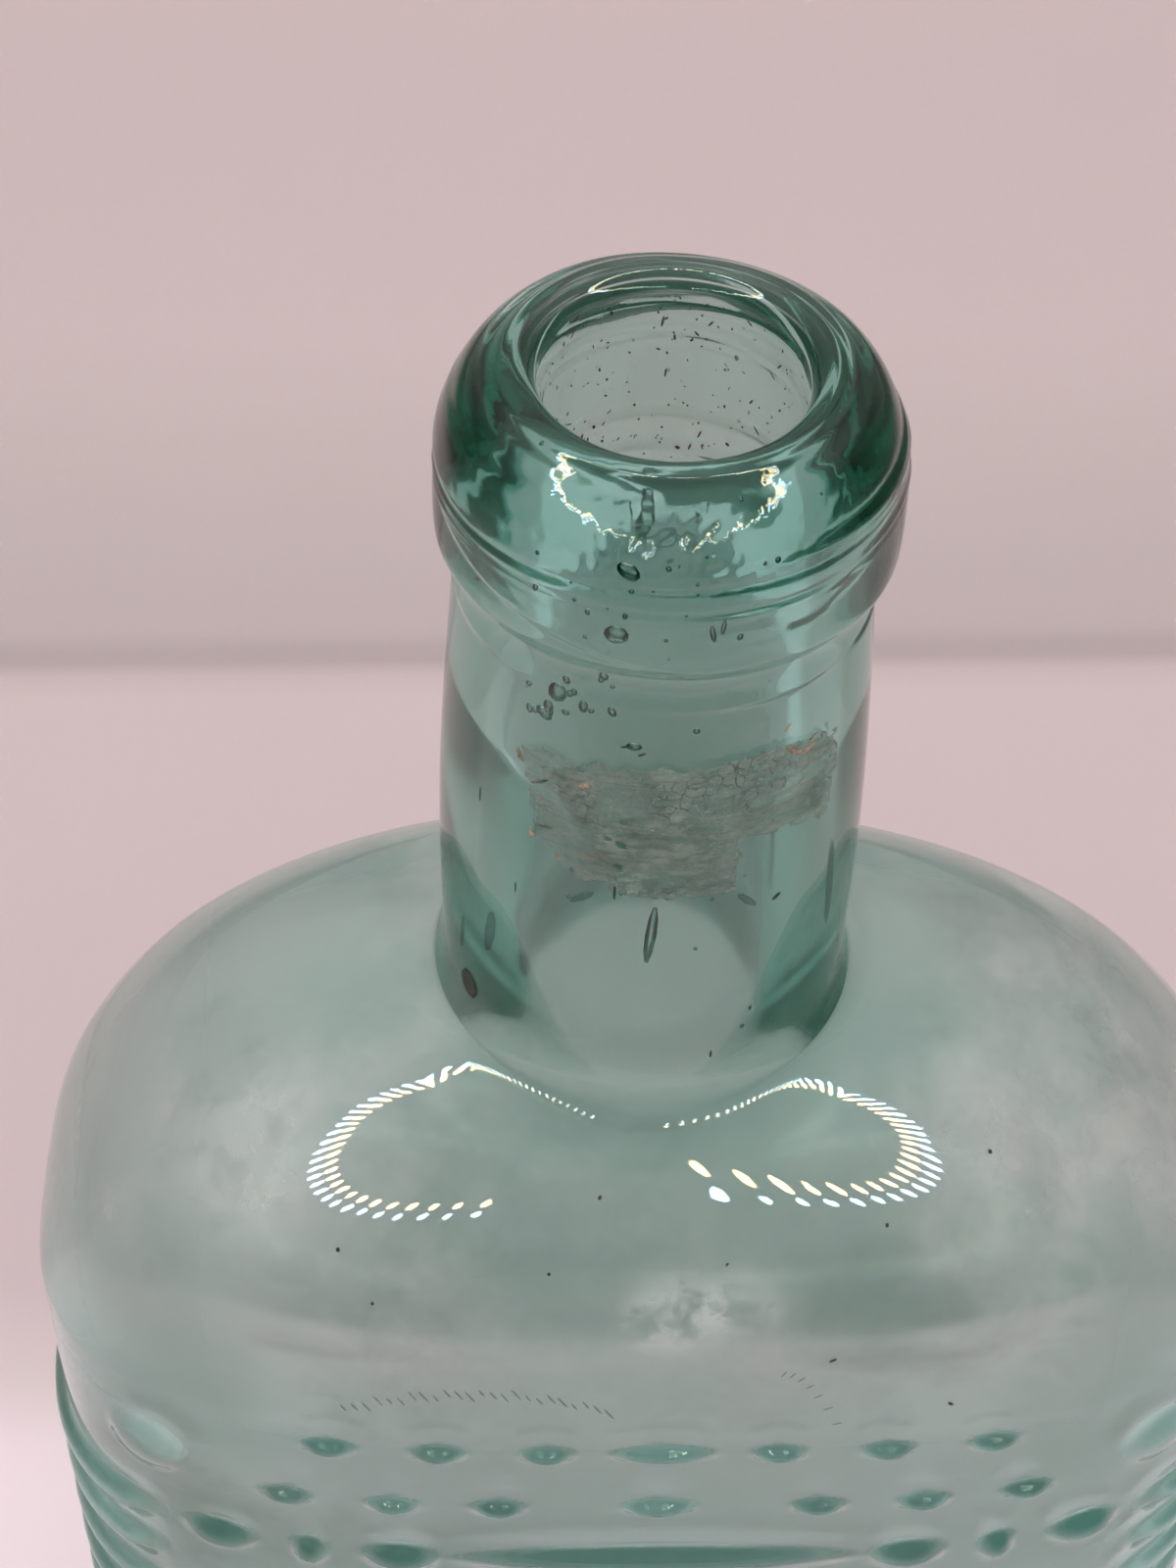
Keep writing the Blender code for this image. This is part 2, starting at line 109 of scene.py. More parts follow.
# Mesh fineness: columns are close together round the front and wider apart round the back
FULL_TURN = 2.0 * math.pi
FRONT_COLUMNS = 240
BACK_COLUMNS = 110
FRONT_FROM = 0.515
FRONT_TO = 0.985
OVAL_STEPS = 2401
WAVE_PITCHES = (0.7, 1.5)

# Row spacings of the glass's mesh
LIP_ROW = 0.00022
BORE_ROW = 0.0005
STUD_ROW = 0.00026
RIB_ROW = 0.00045
SHOULDER_ROW = 0.0005
RIB_ROW_PLAIN = 2.2
RIB_ROW_REACH = 0.0017
HEEL_STEPS = 6
KICK_SHARES = (0.08, 0.25, 0.45, 0.65, 0.82, 0.94)
FLOOR_SHARES = (0.92, 0.75, 0.55, 0.35, 0.12)
SPLINE_STEPS = 24
LIP_START = 0.003
NECK_END_GAP = 0.0034
CAVITY_START = 0.01
CAVITY_ROWS = (0.0012, 0.0006, 0.003)
CAVITY_ROW_CHANGE = 0.009

# Hand tooling of the lip, and uneven glass: each is a size, then the seed, length and count of its waves
STUD_SPREAD = 1.22
RIB_SPREAD = 1.7
RIB_TAPER = 0.0022
CROWN_CLEAR = 0.0016
MARK_SEED = 11
MARK_COUNT = 64
MARK_DEPTH = 0.00013
MARK_STARTS = (0.0002, 0.0075)
MARK_DRIFT = 0.00035
MARK_REACHES = (0.5, 2.2)
MARK_WIDTHS = (0.0001, 0.00024)
MARK_SIZES = (0.35, 1.0)
MARKS_RAISED = 0.35
LAP_TURN = math.radians(-150)
LAP_REACH = math.radians(80)
LAP_DEPTH = 0.0085
LAP_SLOPE = 0.003
LAP_STEP = 0.00016
LAP_SOFTNESS = 0.00008
LAP_LOWEST = 0.0125
SAG_DEPTH = 0.0126
SAG_REACH = 0.0022
SAG = ((1, 0.00022, 0.5), (2, 0.00014, 2.2))
RIPPLE = (0.000022, 23, 0.0008, 9)
RIPPLE_TURN = 0.75
RIPPLE_DEPTH = 0.0034
RIPPLE_REACH = 0.0026
UNEVEN_LIP = (0.00007, 21, 0.011)
UNEVEN_BORE = (0.00012, 22, 0.014)
UNEVEN_WALL = (0.00007, 5, 0.034)
UNEVEN_CALM = 0.01
TWIST = (0.00006, 4, 1.0, 60)
UNEVEN_CAVITY = (0.0003, 8, 0.04, 7)
CAVITY_CALM = 0.012

# Glass: a clear melt tinted by traces of iron, so its colour deepens with thickness
GLASS_IOR = 1.52
GLASS_TINT = (0.32, 0.765, 0.69)
GLASS_DENSITY = 100.0
CLEAN_GLASS = (0.96, 1.0, 0.985)
HANDLED = (0.75, 0.83, 0.79)
HANDLED_BELOW = (0.142, 0.127)
GRAIN_NOISE = (1400.0, 2.0)
POLISH = (0.3, 0.7, 0.008, 0.03)
SURFACE_NOISE = (260.0, 2.0)
SURFACE_RELIEF = (0.00002, 0.5)

# Film and sickness on the inside. A noise is its scale, detail and roughness; a range is its two ends, and
# what they become if not 0 and 1
CLOUD_NOISE = (38.0, 5.0, 0.62)
CLOUD_RANGE = (0.46, 0.74)
CLOUDS_LEAST = 0.25
STAIN_BELOW = (0.129, 0.118)
STAIN = (0.12, 0.4)
FILM_BELOW = (0.156, 0.145, 0.0, 0.15)
FILM_SIDES = (0.01, 0.03)
BORE_FILM = 0.45
BORE_ABOVE = (SHOULDER_Z - 0.004, SHOULDER_Z + 0.004)
BODY_HAZE = (0.5, 0.58, 0.55)
BORE_HAZE = (0.52, 0.53, 0.5)
HAZE_COVER = 0.5
CLOUD_ROUGHNESS = (0.02, 0.1)
LOW_ROUGHNESS = 0.32
FLANK_SIDES = (0.016, 0.04)
FLANK_BELOW = (0.156, 0.146)
SHOULDER_ROUGHNESS = (SHOULDER_Z - 0.001, SHOULDER_Z - 0.009, 0.0, 0.15)
NECK_ROUGHNESS = (SHOULDER_Z + 0.034, SHOULDER_Z + 0.01, 0.02, 0.13)

# Dust outside, pale patches by place, reach and strength, and wear round the rim
DUST_BELOW = (0.166, 0.155)
DUST_LOW = (0.121, 0.134, 0.08, 1.0)
DUST_BEFORE = 0.05
DUST_BESIDE = 0.28
DUST_BACK = (-0.012, 0.004)
DUST_CLOUDS = 0.3
DUST_CORNERS = (0.032, 0.04, 0.0, 0.14)
DUST_HAZE = (1.0, 0.82, 0.82)
PATCH_HAZE = (0.98, 1.0, 0.96)
PATCH_FULL = 0.3
PATCH_CORE = 0.35
PATCH_NOISE = (330.0, 4.0, 0.6)
PATCH_RANGE = (0.3, 0.52)
CLOUD_PATCHES = (
    ((-0.0002, -0.0224, 0.1394), 0.0054, 0.47),
    ((0.0048, -0.0222, 0.1408), 0.0044, 0.3),
    ((-0.0295, -0.0127, 0.1452), 0.009, 0.12),
)
WEAR_FINENESS = 2600.0
WEAR_WANDER = (110.0, 2.0)
WEAR_NOISE = (1.0, 4.0, 0.65)
WEAR_RANGE = (0.46, 0.68, 0.22, 1.0)
WEAR_ABOVE = (MOUTH_Z - 0.0042, MOUTH_Z - 0.0008)
WEAR_BEHIND = (-0.001, 0.01, 0.1, 0.85)

# Grain of the tooled lip, and dimples over its bevel in front
LIP_GRAIN = (LIP_BOTTOM_Z - 0.001, LIP_BOTTOM_Z + 0.002, 0.0, 0.34)
LIP_GRAIN_NOISE = (1900.0, 3.0, 0.6)
LIP_BEVEL = (LIP_BOTTOM_Z + 0.0035, LIP_BOTTOM_Z + 0.0065)
LIP_DIMPLES = (0.004, -0.008, 0.25, 0.5)
LIP_DIMPLE_NOISE = (1300.0, 0.0)

# The photograph, in its own pixels, and the camera that took it
PHOTO_WIDTH = 1200
PHOTO_HEIGHT = 1600
FOCAL_PIXELS = 2800.0
SENSOR_MM = 36.0
CAMERA_PITCH = math.radians(46.47)
CAMERA_ROLL = math.radians(1.93)
CAMERA_YAW = math.radians(2.72)
CAMERA_DISTANCE = 0.18217
CAMERA_AIM_X = -0.00411
CAMERA_AIM_Z = -0.03544
CAMERA_SHIFT_X = 0.00196
CAMERA_CLIP = 0.001
PIXELS_PER_METRE = 16200.0

# Bubbles: pixel of each, width and height in pixels, tilt in degrees, depth under the surface in metres;
# and areas of small ones: corner pixels, count, least and greatest size in pixels
BUBBLES = (
    (637, 590, 24, 15, 20, 0.001), (625, 658, 23, 22, -10, 0.0012), (563, 712, 20, 24, 10, 0.0008),
    (549, 732, 20, 13, 30, 0.0008), (664, 963, 12, 88, 4, 0.001), (632, 915, 7, 24, 0, 0.0012),
    (730, 655, 6, 22, -10, 0.001), (741, 648, 5, 18, 5, 0.001), (646, 768, 16, 10, 0, 0.0006),
    (712, 750, 7, 7, 0, 0.0004), (748, 861, 7, 7, 0, 0.0004),
)
BUBBLE_SEED = 3
BUBBLE_STRETCH = (0.8, 1.7)
BUBBLE_TILT = 25
BUBBLE_DEPTH = 0.0009
BUBBLE_THICKEST = 0.0004
BUBBLE_AREAS = (
    ((525, 690, 625, 745), 16, 5, 11),
    ((540, 560, 800, 690), 22, 2, 6),
    ((480, 380, 900, 520), 7, 2, 5),
    ((520, 760, 820, 1080), 12, 3, 6),
)

# Paper left on the neck, and torn scraps beside it, by their outlines in the photograph;
# each sheet's tear is how ragged its edge is and the seed of its unevenness; waves are by length and share
PAPER_THICKNESS = 0.00008
PAPER_OFF_GLASS = 0.00002
PAPER_CELL = 0.00015
PAPER_EDGE = 0.0006
PAPER_HOLE_FROM = 1.75
HOLE_WAVES = ((0.0011, 1.0),)
TEAR_WAVES = ((0.0019, 1.0), (0.0007, 0.6))
CRUMPLE_WAVES = ((0.0008, 1.0), (0.00035, 0.5))
CRUMPLE_LEVEL = 1.6
CRUMPLE_LIFT = 0.00002
CURL_WAVES = ((0.0026, 1.0),)
CURL_FROM = 0.9
CURL_LIFT = 0.00022
PAPER_TEAR = (0.00018, 41)
FILM_TEAR = (0.0003, 97)
SCRAP_TEARS = tuple((0.0001, seed) for seed in (69, 78, 87, 96))
PAPER_OUTLINE = (
    (561, 785), (600, 776), (619, 778), (681, 780), (738, 776), (791, 757), (848, 738), (851, 770),
    (842, 822), (800, 838), (750, 854), (748, 905), (684, 913), (622, 905), (600, 860), (577, 822),
)
FILM_OUTLINE = (
    (534, 752), (556, 762), (580, 772), (600, 780), (612, 820), (625, 870), (640, 898), (600, 896),
    (566, 876), (552, 850), (541, 815),
)
SCRAP_OUTLINES = (
    ((528, 760), (532, 762), (538, 776), (533, 778)),
    ((541, 838), (546, 840), (548, 852), (543, 853)),
    ((583, 797), (606, 793), (609, 800), (588, 803)),
    ((798, 757), (806, 754), (812, 764), (832, 752), (828, 760), (812, 770), (802, 766)),
)

# Paper's looks: name, dark, light and tan colours, where the tan flecks begin, and least and most cover
PAPER_LOOKS = (
    ("band_paper", (0.19, 0.245, 0.2), (0.33, 0.4, 0.34), (0.46, 0.3, 0.18), 0.64, (0.25, 0.64)),
    ("scrap_paper", (0.26, 0.17, 0.1), (0.6, 0.46, 0.34), (0.75, 0.62, 0.5), 0.6, (0.9, 1.0)),
    ("paper_film", (0.24, 0.29, 0.24), (0.34, 0.4, 0.35), (0.42, 0.27, 0.16), 0.62, (0.1, 0.5)),
)
MOTTLE_NOISE = (420.0, 6.0, 0.68)
MOTTLE_RANGE = (0.32, 0.68)
CRACK_WANDER = 900.0
CRACK_BEND = 0.0011
CRACK_CELLS = 1150.0
CRACK_WIDTH = 0.07
CRACK_NOISE = (260.0, 3.0)
CRACK_RANGE = (0.46, 0.62)
CRACK_DARK = 0.35
FLECK_NOISE = (620.0, 4.0, 0.6)
FLECK_BLEND = 0.06
FIBRE_SCALE = (500.0, 500.0, 2600.0)
FIBRE_MOTTLE = 0.6
FIBRE_RANGE = (0.62, 0.95)
PAPER_ROUGHNESS = (0.3, 0.7, 0.62, 0.9)
PAPER_RELIEF = (0.00006, 0.5)

# Specks, streaks and scratches: pixel of each, length and width in pixels, tilt in degrees
DARK_SPECKS = (
    (479, 1003, 44, 34, 12), (850, 1388, 11, 5, 50), (970, 1432, 10, 5, -40), (765, 1028, 8, 4, 0),
    (725, 1075, 13, 3, 0), (345, 1275, 6, 5, 0), (792, 914, 12, 6, 60), (551, 797, 26, 4, 55),
    (556, 843, 22, 4, 75), (627, 911, 20, 3, 0), (526, 905, 16, 2, 0), (490, 810, 22, 2, 0),
    (640, 762, 14, 3, 80), (655, 770, 9, 3, 60), (612, 1222, 6, 4, 20), (905, 1250, 6, 4, 0),
    (380, 1330, 5, 4, 0), (1010, 1175, 6, 5, 0), (560, 1300, 5, 4, 0), (742, 1290, 5, 3, 30),
)
STREAKS = (
    (500, 950, 74, 16, 8), (846, 900, 140, 13, -2), (472, 950, 60, 8, 6), (594, 915, 34, 9, 48),
    (762, 918, 34, 9, -40),
)
PALE_FLECKS = (
    (530, 768, 17, 5, -20), (597, 798, 20, 4, 75), (812, 763, 18, 4, 60), (828, 752, 14, 4, 50),
    (818, 795, 10, 4, 70), (804, 742, 12, 3, 40), (687, 879, 6, 5, 0), (800, 800, 9, 3, 20),
    (789, 838, 8, 3, 30), (770, 836, 10, 2, 70),
)
TICKS = tuple(
    (350 + 11.8 * i, 1436 - 0.12 * i * (22 - i) + 2 * (i % 3), 15 + 4 * (i % 4), 2.6, -28) for i in range(24)
)
ARC_SCRATCH = tuple((800 + 9 * i, 1402 + 1.4 * i * i, 14, 2.4, 24 + 8 * i) for i in range(7))
SPECKS = (
    ("dark_specks", DARK_SPECKS, ((0.02, 0.022, 0.02), (0.07, 0.06, 0.045), 900.0, 0.6)),
    ("streaks", STREAKS, ((0.035, 0.095, 0.085), (0.07, 0.15, 0.13), 600.0, 0.35, 0.3)),
    ("pale_flecks", PALE_FLECKS, ((0.34, 0.21, 0.12), (0.66, 0.5, 0.36), 700.0, 0.7)),
    ("scratches", TICKS + ARC_SCRATCH, ((0.1, 0.16, 0.14), (0.18, 0.26, 0.23), 500.0, 0.5, 0.4)),
)
SPECK_THIN = 0.000012
SPECK_LIFT = 0.00004
GRIME_DETAIL = 4.0
GRIME_RANGE = (0.35, 0.65)
GRIME_POLISH = 0.15

# Dirt in the bore: specks, and a share of long fibres
DIRT_LOOK = ((0.035, 0.022, 0.014), (0.13, 0.075, 0.04), 900.0, 0.75)
DIRT_SEED = 29
DIRT_COUNT = 420
DIRT_TURNS = 1.0
DIRT_DEPTHS = (0.001, MOUTH_BORE_DEPTH + 0.006)
DIRT_SIZES = (0.00003, 0.00008)
DIRT_LARGER = 2.0
DIRT_LARGE_SHARE = 0.08
DIRT_SPECK = (1.0, 2.2)
DIRT_FIBRE = (3.0, 6.0)
DIRT_SPECK_SHARE = 0.8
DIRT_LEAN = 1.2
DIRT_THICKNESS = 0.000018
DIRT_CLEARANCE = 0.00014

# Stage: floor colours by distance behind the bottle, with a painted shadow band where a backdrop would fold,
# the ring lamp, and the light all round
FLOOR_HALF = 3.0
FLOOR_LEVEL = 1.19
FLOOR_SKEW = -0.0155
FLOOR_ROUGHNESS = 0.9
FLOOR_BESIDE = (0.24, 0.56)
FLOOR_BEFORE = (-0.12, -0.4)
FLOOR_DIM = (0.32, 0.37, 0.355)
# The darker stops from 0.1845 to 0.1945 are painted shade: the soft shadow band along a backdrop's fold.
FLOOR_TONES_AND_FOLD_SHADOW = (
    (0.044, (0.82, 0.68, 0.72)), (0.05, (0.8, 0.66, 0.7)), (0.06, (0.65, 0.53, 0.54)),
    (0.074, (0.56, 0.445, 0.46)), (0.13, (0.56, 0.45, 0.455)), (0.18, (0.57, 0.46, 0.465)),
    (0.1845, (0.54, 0.43, 0.435)), (0.188, (0.415, 0.335, 0.34)), (0.191, (0.42, 0.34, 0.345)),
    (0.1945, (0.47, 0.385, 0.385)), (0.215, (0.49, 0.405, 0.405)), (0.27, (0.56, 0.455, 0.455)),
    (0.36, (0.58, 0.465, 0.47)), (0.44, (0.62, 0.5, 0.49)),
)
LAMP_STRENGTH = 40.0
LAMP_ROWS = (("white_lamps", 0.187, (0.54, 0.77, 1.0)), ("warm_lamps", 0.173, (1.0, 0.76, 0.4)))
LAMP_COUNT = 74
LAMP_LONG = 0.0074
LAMP_WIDE = 0.0041
LAMP_GAP = math.radians(11)
LAMP_RISE = 0.065
LAMP_GROWTH = 4.0
LAMP_SIZES = (0.62, 1.12)
LAMP_PIVOT = (-0.003, -0.014, 0.149)
KEY_POWER = 5.4
KEY_SIZE = 0.9
SKY_STRENGTH = 0.68
SKY_MIRRORED = 0.35
SKY_BEHIND = (-0.45, 0.45)
SKY_SIDES = (0.45, 0.95)
SKY_RISE = (0.3, 0.85)
SKY_FRONT = (0.14, 0.13, 0.13)
SKY_BACK = (0.62, 0.56, 0.56)
SKY_SIDE = (0.22, 0.2, 0.2)
SKY_HIGH = (1.1, 1.07, 1.07)


def new_object(name, data):
    made = bpy.data.objects.new(name, data)
    bpy.context.scene.collection.objects.link(made)
    return made


def mesh_object(name, points, faces, made_of):
    mesh = bpy.data.meshes.new(name)
    mesh.from_pydata([tuple(p) for p in points], [], [tuple(f) for f in faces])
    mesh.update()
    mesh.materials.append(made_of)
    mesh.shade_smooth()
    return new_object(name, mesh)


def rounded(share, power):
    share = np.clip(share, 0.0, 1.0)
    return (1.0 - (1.0 - share) ** power) ** (1.0 / power)


def soft_max(one, other, blend):
    near = np.maximum(blend - np.abs(one - other), 0.0)
    return np.maximum(one, other) + near * near / (4.0 * blend)


def neck_radius_at(z):
    share = np.clip((LIP_BOTTOM_Z - z) / (LIP_BOTTOM_Z - SHOULDER_Z), 0.0, 1.0)
    bulge = NECK_BULGE * np.sin(math.pi * share**NECK_BULGE_BEND)
    return NECK_RADIUS_TOP + (NECK_RADIUS_BASE - NECK_RADIUS_TOP) * share + bulge


def shell(z, neck_radius, half_width, half_depth, start_z, bends):
    """Half-width, half-depth, squareness and middle of the oval at a height, as in the part's source."""

    def grown(start, rise, half, bend):
        share = rounded((start - z) / rise, bend)
        size = neck_radius + (half - neck_radius) * share - BLEND_SLOPE * np.maximum(z - start, 0.0)
        return share, np.minimum(soft_max(neck_radius, size, bends[2]), half)

    side, wide = grown(start_z, SHOULDER_RISE_SIDE, half_width, bends[0])
    front_rise = SHOULDER_RISE_FRONT - SHOULDER_DROP_FRONT
    front, deep = grown(start_z - SHOULDER_DROP_FRONT, front_rise, half_depth, bends[1])
    squareness = 2.0 + (BODY_SQUARENESS - 2.0) * np.minimum(side, front) ** SQUARENESS_FADE
    middle = NECK_X * (1.0 - np.clip((start_z - z) / SHOULDER_RISE_SIDE, 0.0, 1.0))
    return wide, deep, squareness, middle


def outside(z):
    return shell(z, neck_radius_at(z), BODY_WIDTH / 2, BODY_DEPTH / 2, SHOULDER_Z, OUTER_BENDS)


def cavity(z):
    halves = BODY_WIDTH / 2 - CAVITY_WALL, BODY_DEPTH / 2 - CAVITY_WALL
    return shell(z, NECK_BORE_RADIUS, *halves, SHOULDER_Z - CAVITY_DROP, CAVITY_BENDS)


def columns():
    """Shares of the way round, from +X towards +Y, close together over the front half."""
    back_share = 1.0 - (FRONT_TO - FRONT_FROM)
    front = FRONT_FROM + (FRONT_TO - FRONT_FROM) * np.arange(FRONT_COLUMNS) / FRONT_COLUMNS
    back = FRONT_TO + back_share * np.arange(BACK_COLUMNS) / BACK_COLUMNS
    return np.sort(np.mod(np.concatenate([front, back]), 1.0))


SHARES = columns()


def ring(oval, z):
    """The points of one row round an oval, and the level outward direction at each."""
    wide, deep, squareness, middle = (float(v) for v in oval)

    def at(turn):
        c, s = np.cos(turn), np.sin(turn)
        reach = (np.abs(c / wide) ** squareness + np.abs(s / deep) ** squareness) ** (-1.0 / squareness)
        return reach * c, reach * s

    turns = np.linspace(0.0, FULL_TURN, OVAL_STEPS)
    run = np.concatenate([[0.0], np.cumsum(np.hypot(*np.diff(at(turns))))])
    x, y = at(np.interp(SHARES * run[-1], run, turns))
    slope_x = np.sign(x) * np.abs(x / wide) ** (squareness - 1.0) / wide
    slope_y = np.sign(y) * np.abs(y / deep) ** (squareness - 1.0) / deep
    length = np.hypot(slope_x, slope_y)
    points = np.stack([x + middle, y, np.full_like(x, z)], axis=1)
    return points, np.stack([slope_x / length, slope_y / length, np.zeros_like(x)], axis=1)


def waves(x, y, z, seed, length, count=5):
    """A smooth, uneven field between about -1 and 1, from a few slanted waves of one rough length."""
    draw = np.random.default_rng(seed)
    total = np.zeros_like(x)
    for _ in range(count):
        way = draw.normal(size=3)
        way /= np.linalg.norm(way)
        pitch = length * draw.uniform(*WAVE_PITCHES)
        phase = draw.uniform(0.0, FULL_TURN)
        total += np.sin(FULL_TURN * (way[0] * x + way[1] * y + way[2] * z) / pitch + phase)
    return total / math.sqrt(count)


def stud_places():
    """Each stud's place along the front, its height and its sizes: width, height and how proud it stands."""
    made = [(0.0, UPPER_LINE_Z, UPPER_MIDDLE_STUD), (0.0, LOWER_LINE_Z, LOWER_MIDDLE_STUD)]
    made.append((0.0, BOLD_LINE_Z, BAR_STUD))
    for side in (-1, 1):
        for i in range(STUDS_EACH_SIDE):
            made.append((side * (UPPER_FIRST_X + i * STUD_PITCH), UPPER_LINE_Z, SMALL_STUD))
            made.append((side * (LOWER_FIRST_X + i * STUD_PITCH), LOWER_LINE_Z, SMALL_STUD))
        made.append((side * CORNER_X, CORNER_Z, CORNER_STUD))
        edge = BAR_STUD[0] / 2
        for stud in (BOLD_STUD, BOLD_SMALL_STUD, BOLD_STUD):
            x = edge + BOLD_STUD_GAP + stud[0] / 2
            made.append((side * x, BOLD_LINE_Z, stud))
            edge = x + stud[0] / 2
    return made


def dome(across, up):
    """Height of a soft-edged dome over its oval, 1 in the middle and 0 from its edge outwards."""
    far = np.clip(across * across + up * up, 0.0, 1.0)
    return (1.0 - far) ** DOME_FALL * (1.0 + DOME_CROWN * far)


def raised(points):
    """How far studs and ribs lift each point of the straight wall."""
    z = points[:, 2]
    lift = np.zeros(len(points))
    half_width, half_depth = BODY_WIDTH / 2, BODY_DEPTH / 2
    n = BODY_SQUARENESS
    for x, stud_z, (width, height, proud) in stud_places():
        if abs(z[0] - stud_z) > height:
            continue
        y = -half_depth * (1.0 - (abs(x) / half_width) ** n) ** (1.0 / n)
        slope_x = math.copysign((abs(x) / half_width) ** (n - 1.0) / half_width, x)
        slope_y = -((abs(y) / half_depth) ** (n - 1.0)) / half_depth
        length = math.hypot(slope_x, slope_y)
        side = (-slope_y / length, slope_x / length)
        along = (points[:, 0] - x) * side[0] + (points[:, 1] - y) * side[1]
        near = points[:, 1] < 0
        shape = dome(along / (width / 2 * STUD_SPREAD), (z - stud_z) / (height / 2 * STUD_SPREAD))
        lift = np.maximum(lift, np.where(near, shape * proud, 0.0))
    nearest = round((BOLD_LINE_Z - z[0]) / RIB_PITCH)
    rib_z = BOLD_LINE_Z - nearest * RIB_PITCH
    if nearest >= 0 and rib_z > RIB_FOOT:
        off = abs(z[0] - rib_z) / (RIB_HEIGHT / 2 * RIB_SPREAD)
        if off < 1.0:
            room = (half_depth - RIB_FACE_MARGIN) - np.abs(points[:, 1])
            taper = np.clip(room / RIB_TAPER, 0.0, 1.0)
            taper = taper * taper * (3.0 - 2.0 * taper)
            lift = np.maximum(lift, RIB_PROUD * taper * (1.0 - off * off) ** 2)
    return lift


def spline(keys, spacing):
    """Points about one spacing apart along a smooth curve through the keys."""
    keys = np.array(keys)
    ends = np.vstack([2 * keys[0] - keys[1], keys, 2 * keys[-1] - keys[-2]])
    fine = []
    for i in range(len(keys) - 1):
        a, b, c, d = ends[i : i + 4]
        for t in np.linspace(0.0, 1.0, SPLINE_STEPS, endpoint=False):
            bend = 2 * b + (c - a) * t + (2 * a - 5 * b + 4 * c - d) * t**2 + (3 * b - a - 3 * c + d) * t**3
            fine.append(0.5 * bend)
    fine = np.array(fine + [keys[-1]])
    run = np.concatenate([[0.0], np.cumsum(np.hypot(*np.diff(fine, axis=0).T))])
    at = np.linspace(0.0, run[-1], round(run[-1] / spacing) + 1)
    return np.stack([np.interp(at, run, values) for values in fine.T], axis=1)


def lip_curves():
    """Radius and depth below the mouth: up the outside and over the bevel, then down the bore."""
    neck = NECK_RADIUS_TOP
    lip = LIP_RADIUS
    height = MOUTH_Z - LIP_BOTTOM_Z
    bore = MOUTH_BORE_RADIUS
    low = [(neck + 0.0001, height + LIP_START), (neck, height + 0.0016), (neck + 0.0001, height + 0.0007)]
    heel = [(neck + 0.0003, height + 0.0002), (neck + 0.0006, height), (lip - 0.0006, height - 0.0001)]
    side = [(lip - 0.0002, height - 0.0006), (lip, height - 0.0015), (lip, height - 0.0042)]
    side.append((lip - 0.0001, 0.006))
    bevel = [(lip - 0.0005, 0.0042), (lip - 0.0011, 0.0028), (lip - 0.0018, 0.0017), (lip - 0.0026, 0.0009)]
    crown = [(lip - 0.0035, 0.0004), (bore + 0.0024, 0.0001), (bore + 0.0016, 0.0), (bore + 0.0009, 0.0002)]
    edge = [(bore + 0.0004, 0.0006), (bore + 0.0001, 0.0012), (bore, 0.0019)]
    down = [(bore, 0.003), (bore, 0.006), (bore, 0.011), (bore, MOUTH_BORE_DEPTH)]
    wider = [(NECK_BORE_RADIUS, MOUTH_BORE_DEPTH + BORE_CONE)]
    outer = spline(low + heel + side + bevel + crown + edge, LIP_ROW)
    inner = spline(edge[-1:] + down + wider, BORE_ROW)
    return outer, inner[1:]


def turned_from(turn, middle):
    """The signed turn from a middle, at most half a turn."""
    return np.angle(np.exp(1j * (turn - middle)))


def lip_marks(turn, depth, radius):
    """Tool marks on the lip, as lift in metres: fine spiral grooves, and one lap of the gather at left."""
    draw = np.random.default_rng(MARK_SEED)
    lift = np.zeros_like(turn)
    along = depth + (LIP_RADIUS - radius)
    if radius < MOUTH_BORE_RADIUS + CROWN_CLEAR:
        return lift
    for _ in range(MARK_COUNT):
        start = draw.uniform(*MARK_STARTS)
        drift = draw.normal(0.0, MARK_DRIFT)
        middle = draw.uniform(-math.pi, math.pi)
        reach = draw.uniform(*MARK_REACHES)
        width = draw.uniform(*MARK_WIDTHS)
        size = draw.uniform(*MARK_SIZES) * MARK_DEPTH * (1 if draw.random() < MARKS_RAISED else -1)
        off = turned_from(turn, middle)
        fade = np.clip(1.0 - (off / reach) ** 2, 0.0, 1.0) ** 2
        lift += size * fade * np.exp(-(((along - start - drift * off) / width) ** 2))
    off = turned_from(turn, LAP_TURN)
    fade = np.clip(1.0 - (off / LAP_REACH) ** 2, 0.0, 1.0)
    lap_depth = LAP_DEPTH + LAP_SLOPE * off
    lift -= LAP_STEP * fade / (1.0 + np.exp(-(depth - lap_depth) / LAP_SOFTNESS)) * (depth < LAP_LOWEST)
    return lift


def lip_rows(curve, outer):
    """Rings round the lip or the bore: the curve turned about the neck's axis, slightly crooked by hand."""
    turn = FULL_TURN * SHARES
    slopes = np.gradient(curve, axis=0)
    rows = []
    for (radius, depth), (go_r, go_d) in zip(curve, slopes):
        pace = math.hypot(go_r, go_d)
        across, up = -go_d / pace, -go_r / pace
        sag = 0.0
        x, y = np.cos(turn), np.sin(turn)
        place = (x * radius, y * radius, np.full_like(turn, -depth))
        if outer:
            low = math.exp(-(((depth - SAG_DEPTH) / SAG_REACH) ** 2))
            sag = low * sum(size * np.sin(count * turn + start) for count, size, start in SAG)
            size, *wave = UNEVEN_LIP
            lift = lip_marks(turn, np.full_like(turn, depth), radius)
            lift += size * waves(*place, *wave) - size
            size, *wave = RIPPLE
            front = np.exp(-((turned_from(turn, -math.pi / 2) / RIPPLE_TURN) ** 2))
            height = math.exp(-(((depth - RIPPLE_DEPTH) / RIPPLE_REACH) ** 2))
            lift += size * waves(*place, *wave) * front * height
        else:
            size, *wave = UNEVEN_BORE
            lift = size * waves(*place, *wave)
        here = radius + lift * across
        z = MOUTH_Z - depth - sag + lift * up
        rows.append(np.stack([NECK_X + here * x, here * y, z], axis=1))
    return rows


